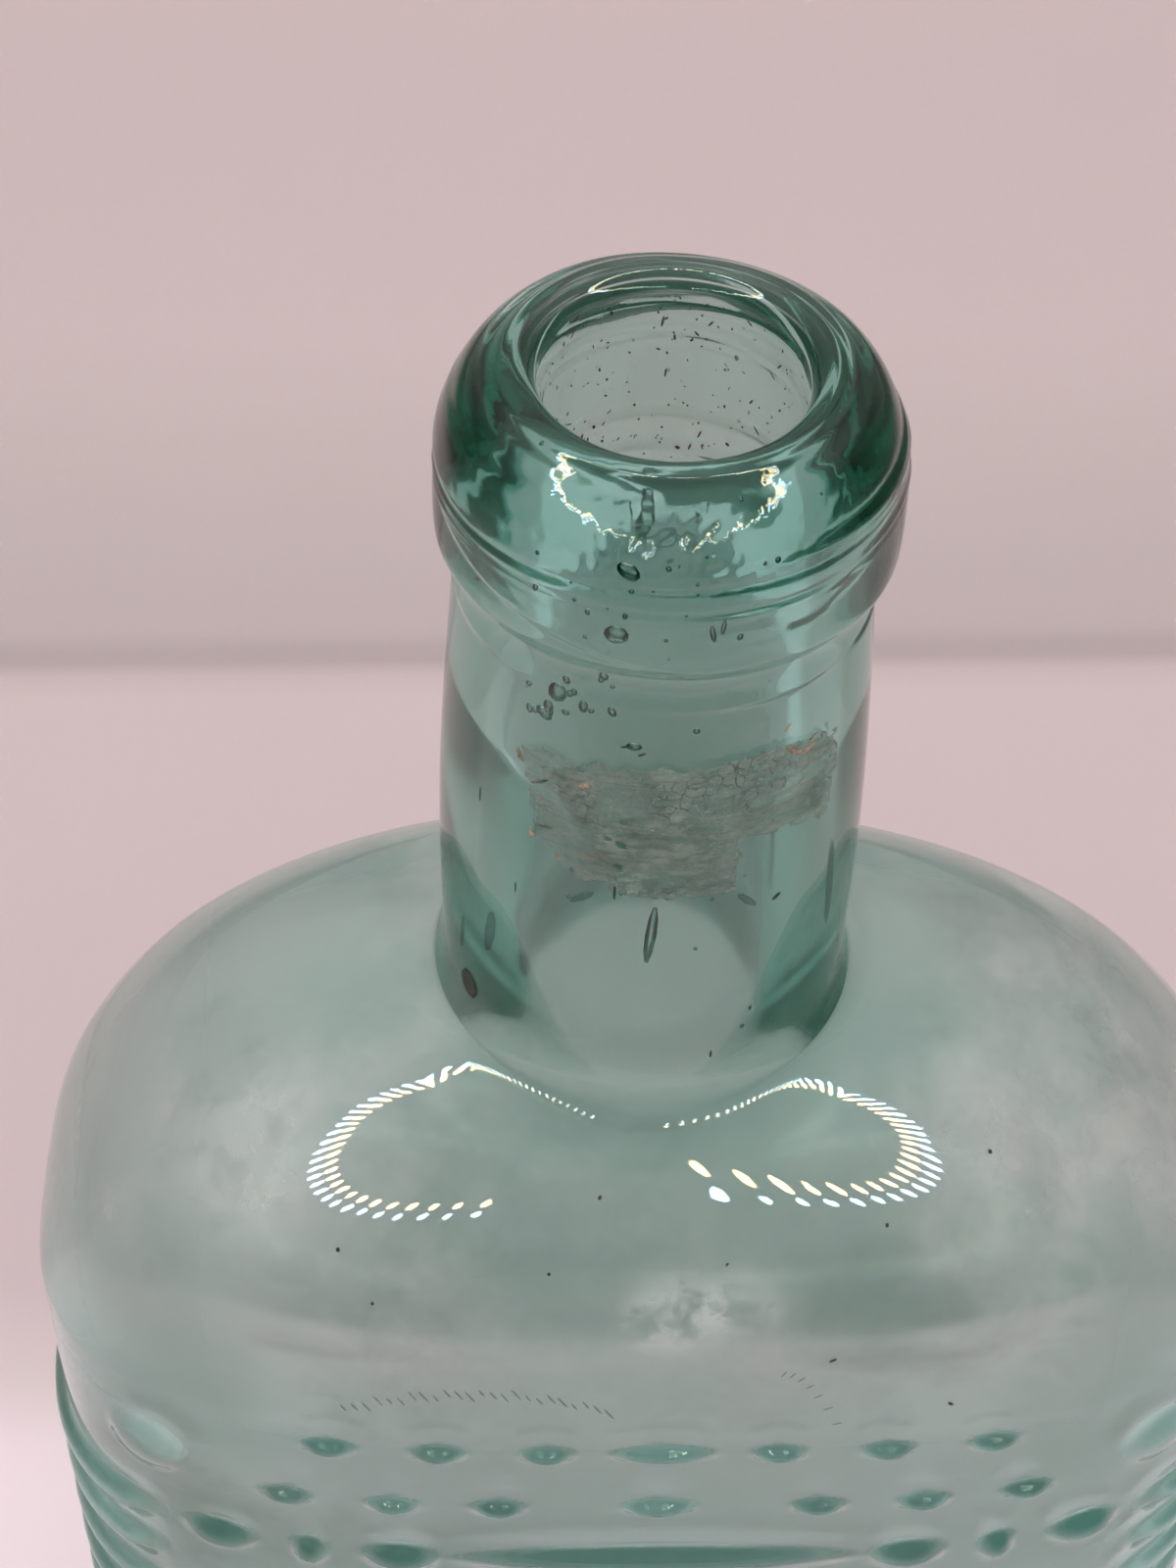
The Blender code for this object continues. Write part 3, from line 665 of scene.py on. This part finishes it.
def inset_ring(oval, inset, z, share=1.0):
    """A row inside an oval, drawn in by a width and then to a share of its size."""
    wide, deep, squareness, middle = oval
    return ring(((wide - inset) * share, (deep - inset) * share, squareness, middle), z)[0]


def heel(oval, z, steps):
    """Rows round the rounded heel above a height, by steps of its quarter turn."""
    turns = [math.radians(90 * step / HEEL_STEPS) for step in steps]
    sizes = [(HEEL_RADIUS * (1 - math.sin(turn)), HEEL_RADIUS * (1 - math.cos(turn))) for turn in turns]
    return [inset_ring(oval, inset, z + rise) for inset, rise in sizes]


def outside_rows():
    """Rings from the middle of the underside up to the start of the lip."""
    full = outside(BODY_HEIGHT)
    inner_edge = HEEL_RADIUS + BASE_RING_WIDTH
    rows = [inset_ring(full, inner_edge, KICK_UP * (1.0 - share * share), share) for share in KICK_SHARES]
    rows += [inset_ring(full, inner_edge - inset, 0.0) for inset in (0.0, BASE_RING_WIDTH / 2)]
    rows += heel(full, 0.0, range(HEEL_STEPS))
    heights = [HEEL_RADIUS]
    while heights[-1] < LIP_BOTTOM_Z - NECK_END_GAP:
        z = heights[-1]
        rib_off = abs((BOLD_LINE_Z - z + RIB_PITCH / 2) % RIB_PITCH - RIB_PITCH / 2)
        step = STUD_ROW if z < BODY_HEIGHT else SHOULDER_ROW
        if z < BOLD_LINE_Z - RIB_HEIGHT:
            plain = rib_off >= RIB_ROW_REACH and z >= RIB_FOOT - RIB_HEIGHT
            step = RIB_ROW_PLAIN * RIB_ROW if plain else RIB_ROW
        heights.append(z + step)
    for z in heights:
        points, outward = ring(outside(z), z)
        calm = min(max((z - HEEL_RADIUS) / UNEVEN_CALM, 0.0), 1.0)
        size, *wave = UNEVEN_WALL
        uneven = waves(*points.T, *wave) * size - size
        if z > SHOULDER_Z:
            size, count, start, rise = TWIST
            uneven += size * np.sin(count * FULL_TURN * SHARES + start + rise * (z - SHOULDER_Z)) - size
        lift = uneven * calm
        if z < BODY_HEIGHT + SHOULDER_ROW:
            lift = lift + raised(points)
        rows.append(points + outward * lift[:, None])
    return rows


def cavity_rows():
    """Rings down the inside, from under the bore to the middle of the floor."""
    top = MOUTH_Z - MOUTH_BORE_DEPTH - CAVITY_START
    start = SHOULDER_Z - CAVITY_DROP
    side_start = start - SHOULDER_RISE_SIDE
    floor = BASE_THICKNESS
    neck_row, shoulder_row, side_row = CAVITY_ROWS
    heights = list(np.arange(top, start + CAVITY_ROW_CHANGE, -neck_row))
    heights += list(np.arange(heights[-1] - shoulder_row, side_start, -shoulder_row))
    heights += list(np.arange(side_start, floor + HEEL_RADIUS, -side_row))
    rows = []
    for z in heights:
        points, outward = ring(cavity(z), z)
        size, *wave = UNEVEN_CAVITY
        uneven = size * min((top - z) / CAVITY_CALM, 1.0) * waves(*points.T, *wave)
        rows.append(points - outward * np.abs(uneven)[:, None])
    full = cavity(side_start)
    rows += heel(full, floor, range(HEEL_STEPS, 0, -1))
    return rows + [inset_ring(full, HEEL_RADIUS, floor, share) for share in FLOOR_SHARES]


def sweep(rows):
    """Faces between rows of points, with a fan at each end, so that the whole skin is closed."""
    count = len(rows[0])
    here = np.arange(count)
    beside = np.roll(here, -1)
    low = np.arange(len(rows) - 1)[:, None] * count
    corners = [low + here, low + beside, low + count + beside, low + count + here]
    faces = np.stack(corners, axis=2).reshape(-1, 4).tolist()
    end = len(rows) * count
    for i, j in zip(here.tolist(), beside.tolist()):
        faces.append((j, i, end))
        faces.append((end - count + i, end - count + j, end + 1))
    return np.concatenate([*rows, rows[0].mean(axis=0)[None], rows[-1].mean(axis=0)[None]]), faces


def pebble(centre, axes, around=10, rings=6):
    """A closed egg with three half-axes given as vectors, its faces outwards."""
    centre, axes = np.array(centre), np.array(axes)
    points = [centre + axes[2]]
    for ring_at in range(1, rings):
        fall = math.pi * ring_at / rings
        for i in range(around):
            turn = FULL_TURN * i / around
            flat = axes[0] * math.cos(turn) + axes[1] * math.sin(turn)
            points.append(centre + axes[2] * math.cos(fall) + flat * math.sin(fall))
    points.append(centre - axes[2])
    faces = []
    last = len(points) - 1
    for i in range(around):
        j = (i + 1) % around
        faces.append((0, 1 + i, 1 + j))
        for ring_at in range(rings - 2):
            low = 1 + ring_at * around
            faces.append((low + i, low + around + i, low + around + j, low + j))
        end = 1 + (rings - 2) * around
        faces.append((last, end + j, end + i))
    if np.dot(np.cross(axes[0], axes[1]), axes[2]) < 0:
        faces = [tuple(reversed(face)) for face in faces]
    return points, faces


def gather(parts):
    points, faces = [], []
    for part_points, part_faces in parts:
        start = len(points)
        points.extend(part_points)
        faces.extend(tuple(start + i for i in face) for face in part_faces)
    return points, faces


def camera():
    """The photograph's camera, fitted to the outline of the lip, neck and shoulder."""
    ahead = Vector((0.0, math.cos(CAMERA_PITCH), -math.sin(CAMERA_PITCH)))
    place = Vector((CAMERA_AIM_X, 0.0, CAMERA_AIM_Z)) - ahead * CAMERA_DISTANCE
    place -= Vector((CAMERA_SHIFT_X, 0.0, 0.0))
    turn = Matrix.Rotation(-CAMERA_YAW, 4, "Z")
    made = new_object("camera", bpy.data.cameras.new("camera"))
    made.location = turn @ place + Vector((0.0, 0.0, MOUTH_Z))
    made.rotation_mode = "QUATERNION"
    look = (turn.to_3x3() @ ahead).to_track_quat("-Z", "Y")
    made.rotation_quaternion = look @ Matrix.Rotation(CAMERA_ROLL, 4, "Z").to_quaternion()
    made.data.sensor_width = SENSOR_MM
    made.data.lens = FOCAL_PIXELS * SENSOR_MM / PHOTO_HEIGHT
    made.data.clip_start = CAMERA_CLIP
    bpy.context.scene.camera = made
    bpy.context.view_layer.update()
    return made


def under_pixel(tree, px, py):
    """The first point of the glass under a pixel, its outward direction, and two directions along it."""
    view = VIEW_CAMERA.matrix_world
    way = Vector((px - PHOTO_WIDTH / 2, PHOTO_HEIGHT / 2 - py, -FOCAL_PIXELS))
    place, outward, _, _ = tree.ray_cast(view.translation, (view.to_3x3() @ way).normalized())
    if place is None:
        raise ValueError(f"no glass under pixel {px}, {py}")
    up = (Vector((0, 0, 1)) - outward * outward.z).normalized()
    return np.array(place), np.array(outward), np.array(up.cross(outward)), np.array(up)


def leaned(side, up, lean):
    """Two directions turned by an angle: along, from up towards the side, and across."""
    return up * math.cos(lean) + side * math.sin(lean), side * math.cos(lean) - up * math.sin(lean)


def seeds(tree):
    """Air bubbles in the glass: eggs whose faces look inwards, each placed by its pixel, size and depth."""
    draw = np.random.default_rng(BUBBLE_SEED)
    made = []
    listed = list(BUBBLES)
    for (x0, y0, x1, y1), count, small, large in BUBBLE_AREAS:
        for _ in range(count):
            size = draw.uniform(small, large)
            place = (draw.uniform(x0, x1), draw.uniform(y0, y1))
            tall = size * draw.uniform(*BUBBLE_STRETCH)
            listed.append((*place, size, tall, draw.uniform(-BUBBLE_TILT, BUBBLE_TILT), BUBBLE_DEPTH))
    for px, py, wide, tall, tilt, depth in listed:
        place, outward, side, up = under_pixel(tree, px, py)
        along, across = leaned(side, up, math.radians(tilt))
        half_wide, half_tall = wide / 2 / PIXELS_PER_METRE, tall / 2 / PIXELS_PER_METRE
        half_deep = min(half_wide, BUBBLE_THICKEST)
        centre = place - outward * (depth + half_deep)
        points, faces = pebble(centre, (across * half_wide, along * half_tall, outward * half_deep))
        made.append((points, [tuple(reversed(face)) for face in faces]))
    return gather(made)


def bottle_glass(made_of):
    """The whole blown bottle as one closed skin: underside, studded and ribbed wall, lip, bore and cavity."""
    outer, inner = lip_curves()
    skin = outside_rows() + lip_rows(outer, True)
    points, faces = sweep(skin + lip_rows(inner, False) + cavity_rows())
    tree = BVHTree.FromPolygons([tuple(p) for p in points], faces)
    underside = len(points) - 2
    points, faces = gather([(points, faces), seeds(tree)])
    glass = mesh_object("bottle_glass", points, faces, made_of)
    inside = np.zeros(len(points), np.float32)
    inside[sum(len(row) for row in skin) : underside + 2] = 1.0
    inside[underside] = 0.0
    layer = glass.data.attributes.new("inside", "FLOAT", "POINT")
    layer.data.foreach_set("value", inside)
    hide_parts("bottle_body", "applied_lip")
    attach(glass, "root")
    return tree


class Net:
    """Short calls that make nodes; an input gets a number, a colour, another node's output or nothing."""

    def __init__(self, tree):
        self.tree = tree

    def give(self, socket, value):
        if isinstance(value, bpy.types.NodeSocket):
            self.tree.links.new(value, socket)
        elif value is not None:
            socket.default_value = (*value, 1.0) if socket.type == "RGBA" else value

    def fill(self, node, **values):
        for name, value in values.items():
            self.give(node.inputs[name.replace("_", " ")], value)
        return node

    def add(self, kind, *values, **settings):
        made = self.tree.nodes.new("ShaderNode" + kind)
        for name, value in settings.items():
            setattr(made, name, value)
        for socket, value in zip(made.inputs, values):
            self.give(socket, value)
        return made

    def noise(self, at, scale, detail=3.0, roughness=0.5):
        made = self.fill(self.add("TexNoise"), Vector=at, Scale=scale, Detail=detail, Roughness=roughness)
        return made.outputs["Fac"]

    def spread(self, value, low, high, to_low=0.0, to_high=1.0, kind="SMOOTHSTEP"):
        return self.add("MapRange", value, low, high, to_low, to_high, interpolation_type=kind).outputs[0]

    def sum(self, operation, *values):
        return self.add("Math", *values, operation=operation).outputs[0]

    def times(self, one, other):
        return self.sum("MULTIPLY", one, other)

    def most(self, one, other):
        return self.sum("MAXIMUM", one, other)

    def split(self, vector):
        return self.add("SeparateXYZ", vector).outputs[:]

    def merge(self, *values):
        return self.add("CombineXYZ", *values).outputs[0]

    def mix(self, share, one, other):
        """A number between two."""
        return self.add("Mix", share, None, one, other).outputs[0]

    def blend(self, share, one, other, kind="MIX"):
        """A colour between two."""
        made = self.add("Mix", share, *[None] * 5, one, other, data_type="RGBA", blend_type=kind)
        return made.outputs[2]


def new_material(name):
    made = bpy.data.materials.new(name)
    made.use_nodes = True
    net = Net(made.node_tree)
    return made, net, made.node_tree.nodes["Principled BSDF"], net.add("TexCoord").outputs["Object"]


def bump(net, shader, height, distance, strength):
    made = net.fill(net.add("Bump"), Height=height, Distance=distance, Strength=strength)
    net.fill(shader, Normal=made.outputs[0])


def rim_wear(net, place, x, y, z):
    """Fine streaks that run round the rim, strongest behind the bore."""
    level = net.merge(net.sum("SUBTRACT", x, NECK_X), y)
    radius = net.add("VectorMath", level, operation="LENGTH").outputs["Value"]
    wander = net.noise(place, *WEAR_WANDER)
    turned = net.merge(net.times(radius, WEAR_FINENESS), net.times(z, WEAR_FINENESS), wander)
    wear = net.spread(net.noise(turned, *WEAR_NOISE), *WEAR_RANGE)
    wear = net.times(wear, net.spread(z, *WEAR_ABOVE))
    return net.times(wear, net.spread(y, *WEAR_BEHIND))


def outer_dust(net, place, y, z, across, clouds, sides):
    """Dust on the body and shoulder, and the pale patches in it, which are also returned alone."""
    beside = net.most(sides, net.spread(y, *DUST_BACK))
    dust = net.sum("MULTIPLY_ADD", beside, DUST_BESIDE, DUST_BEFORE)
    dust = net.sum("MULTIPLY_ADD", clouds, DUST_CLOUDS, dust)
    dust = net.sum("ADD", dust, net.spread(across, *DUST_CORNERS))
    dust = net.times(dust, net.spread(z, *DUST_LOW))
    patches = 0.0
    torn = net.spread(net.noise(place, *PATCH_NOISE), *PATCH_RANGE)
    for centre, reach, most in CLOUD_PATCHES:
        away = net.add("VectorMath", place, centre, operation="DISTANCE").outputs["Value"]
        patch = net.spread(away, reach, reach * PATCH_CORE, 0.0, most)
        patches = net.sum("MULTIPLY_ADD", patch, torn, patches)
    dust = net.sum("ADD", dust, patches)
    return net.times(dust, net.spread(z, *DUST_BELOW)), patches


def aqua_glass():
    """Clear aqua glass that deepens with thickness, dusty and worn outside and slightly sick inside."""
    made, net, shader, place = new_material("aqua_glass")
    inside = net.add("Attribute", attribute_name="inside").outputs["Fac"]
    clouds = net.spread(net.noise(place, *CLOUD_NOISE), *CLOUD_RANGE)
    x, y, z = net.split(place)
    across = net.sum("ABSOLUTE", x)

    low = net.spread(z, *STAIN_BELOW)
    stain = net.times(low, net.spread(clouds, 0.0, 1.0, *STAIN))
    sides = net.spread(across, *FILM_SIDES)
    cloudy = net.times(clouds, net.sum("MULTIPLY_ADD", sides, 1.0 - CLOUDS_LEAST, CLOUDS_LEAST))
    film = net.most(net.sum("ADD", net.spread(z, *FILM_BELOW), cloudy), stain)
    dirty = net.spread(z, *BORE_ABOVE)
    film = net.most(film, net.times(dirty, BORE_FILM))

    dust, patches = outer_dust(net, place, y, z, across, clouds, sides)
    dust = net.sum("ADD", dust, rim_wear(net, place, x, y, z))
    haze = net.mix(inside, dust, film)

    flank = net.times(net.spread(across, *FLANK_SIDES), net.spread(z, *FLANK_BELOW))
    rough = net.spread(net.most(low, flank), 0.0, 1.0, 0.0, LOW_ROUGHNESS)
    rough = net.most(net.spread(clouds, 0.0, 1.0, *CLOUD_ROUGHNESS), rough)
    rough = net.most(rough, net.spread(z, *SHOULDER_ROUGHNESS))
    rough = net.most(rough, net.spread(z, *NECK_ROUGHNESS))
    rough = net.mix(inside, net.spread(net.noise(place, *GRAIN_NOISE), *POLISH), rough)

    outer = net.blend(net.spread(patches, 0.0, PATCH_FULL), DUST_HAZE, PATCH_HAZE)
    hazy = net.blend(inside, outer, net.blend(dirty, BODY_HAZE, BORE_HAZE))
    handled = net.most(dirty, net.spread(z, *HANDLED_BELOW))
    handled = net.times(handled, net.sum("SUBTRACT", 1.0, inside))
    colour = net.blend(haze, net.blend(handled, CLEAN_GLASS, HANDLED), hazy)
    clear = net.spread(haze, 0.0, 1.0, 1.0, HAZE_COVER)
    net.fill(shader, Base_Color=colour, Roughness=rough, Transmission_Weight=clear, IOR=GLASS_IOR)

    grains = net.times(net.noise(place, *LIP_GRAIN_NOISE), net.spread(z, *LIP_GRAIN))
    front = net.times(net.spread(y, *LIP_DIMPLES), net.spread(z, *LIP_BEVEL))
    grains = net.sum("ADD", grains, net.times(net.noise(place, *LIP_DIMPLE_NOISE), front))
    surface = net.sum("ADD", net.noise(place, *SURFACE_NOISE), grains)
    bump(net, shader, surface, *SURFACE_RELIEF)

    thick = net.fill(net.add("VolumeAbsorption"), Color=GLASS_TINT, Density=GLASS_DENSITY)
    net.fill(made.node_tree.nodes["Material Output"], Volume=thick.outputs[0])
    return made


def paper_material(name, dark, light, tan, tan_from, alpha):
    """Old crackled paper: mottled, with dark cracks, pale fibres and tan flecks."""
    made, net, shader, place = new_material(name)
    mottle = net.noise(place, *MOTTLE_NOISE)
    colour = net.blend(net.spread(mottle, *MOTTLE_RANGE), dark, light)
    wander = net.fill(net.add("TexNoise"), Vector=place, Scale=CRACK_WANDER, Detail=3.0)
    bend = (CRACK_BEND,) * 3
    bent = net.add("VectorMath", wander.outputs["Color"], bend, place, operation="MULTIPLY_ADD")
    cells = net.add("TexVoronoi", feature="DISTANCE_TO_EDGE")
    net.fill(cells, Vector=bent.outputs[0], Scale=CRACK_CELLS)
    crack = net.spread(cells.outputs["Distance"], 0.0, CRACK_WIDTH, 1.0, 0.0)
    crack = net.times(crack, net.spread(net.noise(place, *CRACK_NOISE), *CRACK_RANGE))
    colour = net.blend(crack, colour, tuple(CRACK_DARK * channel for channel in dark))
    flecks = net.spread(net.noise(place, *FLECK_NOISE), tan_from, tan_from + FLECK_BLEND)
    colour = net.blend(flecks, colour, tan)
    fibres = net.fill(net.add("Mapping"), Vector=place, Scale=FIBRE_SCALE).outputs[0]
    thin = net.sum("ADD", net.noise(fibres, 1.0), net.times(mottle, FIBRE_MOTTLE))
    cover = net.spread(thin, *FIBRE_RANGE, *alpha)
    net.fill(shader, Base_Color=colour, Roughness=net.spread(mottle, *PAPER_ROUGHNESS), Alpha=cover)
    bump(net, shader, net.sum("SUBTRACT", mottle, crack), *PAPER_RELIEF)
    return made


def grime_material(name, dark, light, scale, rough, alpha=1.0):
    """Dull specks of dirt, mottled between two colours."""
    made, net, shader, place = new_material(name)
    share = net.spread(net.noise(place, scale, GRIME_DETAIL), *GRIME_RANGE)
    roughness = net.spread(share, 0.0, 1.0, rough, rough + GRIME_POLISH)
    net.fill(shader, Base_Color=net.blend(share, dark, light), Roughness=roughness, Alpha=alpha)
    return made


def inside_outline(points, outline):
    """Whether each point lies inside a closed outline."""
    found = np.zeros(len(points), bool)
    x, y = points.T
    for (x0, y0), (x1, y1) in zip(outline, np.roll(outline, -1, axis=0)):
        crosses = (y0 > y) != (y1 > y)
        reach = x0 + (y - y0) * (x1 - x0) / np.where(y1 == y0, 1e-12, y1 - y0)
        found ^= crosses & (x < reach)
    return found


def paper_sheet(tree, name, pixels, ragged, seed, made_of):
    """A thin sheet glued on the neck inside an outline of the photograph, with a torn edge and holes."""
    outline = []
    for px, py in pixels:
        x, y, z = under_pixel(tree, px, py)[0]
        outline.append((math.atan2(x - NECK_X, -y) * NECK_RADIUS_TOP, z))
    outline = np.array(outline)
    low, high = outline.min(axis=0) - PAPER_EDGE, outline.max(axis=0) + PAPER_EDGE
    grid_x, grid_z = np.meshgrid(*(np.arange(low[i], high[i], PAPER_CELL) for i in (0, 1)))
    flat_x, flat_z = grid_x.ravel(), grid_z.ravel()

    def uneven(first, lengths):
        places = (flat_x, flat_z, np.zeros_like(flat_x))
        made = enumerate(lengths, start=seed + first)
        return sum(share * waves(*places, number, length) for number, (length, share) in made)

    torn = [flat_x + ragged * uneven(0, TEAR_WAVES), flat_z + ragged * uneven(2, TEAR_WAVES)]
    kept = inside_outline(np.stack(torn, axis=1), outline)
    kept &= uneven(4, HOLE_WAVES) < PAPER_HOLE_FROM
    kept = kept.reshape(grid_x.shape)
    crumple = (uneven(5, CRUMPLE_WAVES) + CRUMPLE_LEVEL).clip(0.0, None)
    curl = np.clip(uneven(7, CURL_WAVES) - CURL_FROM, 0.0, 1.0)
    lift = (PAPER_OFF_GLASS + CRUMPLE_LIFT * crumple + CURL_LIFT * curl).reshape(grid_x.shape)
    points, faces, index = [], [], {}
    whole = kept[:-1, :-1] & kept[1:, :-1] & kept[:-1, 1:] & kept[1:, 1:]
    for row, column in zip(*np.nonzero(whole)):
        corners = ((row, column), (row, column + 1), (row + 1, column + 1), (row + 1, column))
        for corner in corners:
            if corner not in index:
                index[corner] = len(points)
                turn, z = grid_x[corner] / NECK_RADIUS_TOP, grid_z[corner]
                reach = float(outside(z)[0]) + lift[corner]
                points.append((NECK_X + reach * math.sin(turn), -reach * math.cos(turn), z))
        faces.append([index[corner] for corner in corners])
    sheet = mesh_object(name, points, faces, made_of)
    thick = sheet.modifiers.new("thickness", "SOLIDIFY")
    thick.thickness = PAPER_THICKNESS
    thick.offset = 1.0
    return sheet


def flakes(tree, listed):
    """Flat specks and slivers on the glass, each by pixel, length, width and tilt, as closed pebbles."""
    made = []
    for px, py, long, wide, tilt in listed:
        place, outward, side, up = under_pixel(tree, px, py)
        along, across = leaned(side, up, math.radians(tilt))
        across, along = (way * size / 2 / PIXELS_PER_METRE for way, size in ((across, wide), (along, long)))
        made.append(pebble(place + outward * SPECK_LIFT, (across, along, outward * SPECK_THIN), 8, 4))
    return gather(made)


def bore_dirt(made_of):
    """Specks and short fibres of old dirt on the wall of the bore, thickest on the far side."""
    draw = np.random.default_rng(DIRT_SEED)
    widening = [MOUTH_BORE_DEPTH, MOUTH_BORE_DEPTH + BORE_CONE]
    made = []
    for _ in range(DIRT_COUNT):
        turn = draw.normal(math.pi / 2, DIRT_TURNS)
        depth = draw.uniform(*DIRT_DEPTHS)
        size = draw.uniform(*DIRT_SIZES) * (DIRT_LARGER if draw.random() < DIRT_LARGE_SHARE else 1.0)
        stretch = draw.uniform(*(DIRT_SPECK if draw.random() < DIRT_SPECK_SHARE else DIRT_FIBRE))
        radius = np.interp(depth, widening, [MOUTH_BORE_RADIUS, NECK_BORE_RADIUS])
        inward = np.array([-math.cos(turn), -math.sin(turn), 0.0])
        side = np.array([-math.sin(turn), math.cos(turn), 0.0])
        along, across = leaned(side, np.array([0.0, 0.0, 1.0]), draw.uniform(-DIRT_LEAN, DIRT_LEAN))
        centre = np.array([NECK_X, 0.0, MOUTH_Z - depth]) - inward * (radius - DIRT_CLEARANCE)
        made.append(pebble(centre, (across * size, along * size * stretch, inward * DIRT_THICKNESS), 7, 4))
    dirt = mesh_object("bore_dirt", *gather(made), made_of)
    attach(dirt, "root")


def floor_material():
    """Plain pale floor, with the soft change of tone behind the bottle, a painted soft shadow band about 19
    cm behind it where a backdrop would fold, and dimmer far out.
    """
    made, net, shader, place = new_material("pale_floor")
    x, y, _ = net.split(place)
    first, last = FLOOR_TONES_AND_FOLD_SHADOW[0][0], FLOOR_TONES_AND_FOLD_SHADOW[-1][0]
    askew = net.sum("MULTIPLY_ADD", x, FLOOR_SKEW, y)
    # The ramp's darker band about 19 cm behind the bottle is a painted shadow along a backdrop's fold.
    ramp = net.add("ValToRGB", net.spread(askew, first, last, kind="LINEAR"))
    stops = ramp.color_ramp.elements
    stops.remove(stops[1])
    for distance, tone in FLOOR_TONES_AND_FOLD_SHADOW:
        stop = stops[0] if distance == first else stops.new((distance - first) / (last - first))
        stop.color = (*(channel * FLOOR_LEVEL for channel in tone), 1.0)
    beside = net.spread(net.sum("ABSOLUTE", x), *FLOOR_BESIDE)
    dim = net.most(beside, net.spread(y, *FLOOR_BEFORE))
    colour = net.blend(dim, ramp.outputs[0], FLOOR_DIM, "MULTIPLY")
    net.fill(shader, Base_Color=colour, Roughness=FLOOR_ROUGHNESS)
    return made


def floor():
    points = [(x * FLOOR_HALF, y * FLOOR_HALF, 0.0) for x, y in ((-1, -1), (1, -1), (1, 1), (-1, 1))]
    made = mesh_object("floor", points, [(0, 1, 2, 3)], floor_material())


def ring_lamp():
    """The photographer's ring lamp, one white and one warm row of lamps, enlarged away from the bottle."""
    view = VIEW_CAMERA.matrix_world
    right, up, back = (np.array(view.to_3x3() @ Vector(axis)) for axis in ((1, 0, 0), (0, 1, 0), (0, 0, 1)))
    pivot = np.array(LAMP_PIVOT)
    centre = pivot + (np.array(view.translation) + up * LAMP_RISE - pivot) * LAMP_GROWTH
    for name, radius, colour in LAMP_ROWS:
        made, net, shader, _ = new_material(name)
        net.fill(shader, Emission_Color=colour, Emission_Strength=LAMP_STRENGTH)
        made.cycles.emission_sampling = "NONE"
        parts = []
        for i in range(LAMP_COUNT):
            turn = FULL_TURN * i / LAMP_COUNT
            from_gap = abs(math.remainder(turn + math.pi / 2, FULL_TURN))
            if from_gap < LAMP_GAP:
                continue
            size = LAMP_GROWTH * np.interp(from_gap, (LAMP_GAP, math.pi / 2), LAMP_SIZES)
            out, round_way = leaned(up, right, turn)
            place = centre + out * radius * LAMP_GROWTH
            axes = np.array([out * LAMP_LONG, round_way * LAMP_WIDE, back * LAMP_WIDE / 4]) * size
            parts.append(pebble(place, axes, 8, 4))
        row = mesh_object(name, *gather(parts), made)
        row.visible_camera = row.visible_diffuse = row.visible_shadow = False


def key_light():
    """Soft light from where the ring lamp stands; the lamps themselves only show as reflections."""
    view = VIEW_CAMERA.matrix_world
    pivot = Vector(LAMP_PIVOT)
    centre = pivot + (view.translation + view.to_3x3() @ Vector((0, LAMP_RISE, 0)) - pivot) * LAMP_GROWTH
    data = bpy.data.lights.new("key", "AREA")
    data.shape = "DISK"
    data.size = KEY_SIZE
    data.energy = KEY_POWER
    made = new_object("key", data)
    made.location = centre
    made.rotation_mode = "QUATERNION"
    made.rotation_quaternion = (pivot - centre).to_track_quat("-Z", "Y")
    made.visible_glossy = made.visible_transmission = made.visible_camera = False


def surroundings():
    """Soft light from overhead and behind, in a room that is dim in front and at the sides."""
    world = bpy.data.worlds.new("studio")
    bpy.context.scene.world = world
    world.use_nodes = True
    net = Net(world.node_tree)
    x, y, z = net.split(net.add("TexCoord").outputs["Generated"])
    behind = net.spread(y, *SKY_BEHIND)
    colour = net.blend(behind, SKY_FRONT, SKY_BACK)
    colour = net.blend(net.spread(net.sum("ABSOLUTE", x, 0.0), *SKY_SIDES), colour, SKY_SIDE)
    colour = net.blend(net.spread(z, *SKY_RISE), colour, SKY_HIGH)
    path = net.add("LightPath").outputs
    first = net.spread(path["Diffuse Depth"], 0.0, 1.0, 1.0, 0.0)
    mirrored = net.times(path["Is Glossy Ray"], first)
    mirrored = net.times(mirrored, net.sum("SUBTRACT", 1.0, behind))
    strength = net.spread(mirrored, 0.0, 1.0, SKY_STRENGTH, SKY_STRENGTH * SKY_MIRRORED)
    net.fill(world.node_tree.nodes["Background"], Color=colour, Strength=strength)


def render_paths():
    """Plain colours, and paths of light long enough for thick glass."""
    view, paths = bpy.context.scene.view_settings, bpy.context.scene.cycles
    view.view_transform = "Standard"
    view.look = "None"
    paths.max_bounces = 40
    paths.transmission_bounces = 40
    paths.transparent_max_bounces = 16
    paths.glossy_bounces = 16
    paths.diffuse_bounces = 4
    paths.sample_clamp_indirect = 6.0
    paths.blur_glossy = 0.2
    paths.use_denoising = True


def main():
    tree = bottle_glass(aqua_glass())
    band_look, scrap_look, film_look = (paper_material(*look) for look in PAPER_LOOKS)
    band = paper_sheet(tree, "neck_paper", PAPER_OUTLINE, *PAPER_TEAR, band_look)
    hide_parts("paper_band")
    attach(band, "root")
    film = paper_sheet(tree, "paper_film", FILM_OUTLINE, *FILM_TEAR, film_look)
    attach(film, "root")
    for number, (outline, tear) in enumerate(zip(SCRAP_OUTLINES, SCRAP_TEARS), start=1):
        scrap = paper_sheet(tree, f"torn_scrap_{number}", outline, *tear, scrap_look)
        if number <= 3:
            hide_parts(f"paper_scrap_{number}")
        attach(scrap, "root")
    for name, listed, look in SPECKS:
        specks = mesh_object(name, *flakes(tree, listed), grime_material(name, *look))
        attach(specks, "root")
    bore_dirt(grime_material("bore_dirt", *DIRT_LOOK))
    floor()
    ring_lamp()
    key_light()
    surroundings()
    render_paths()


VIEW_CAMERA = camera()
main()
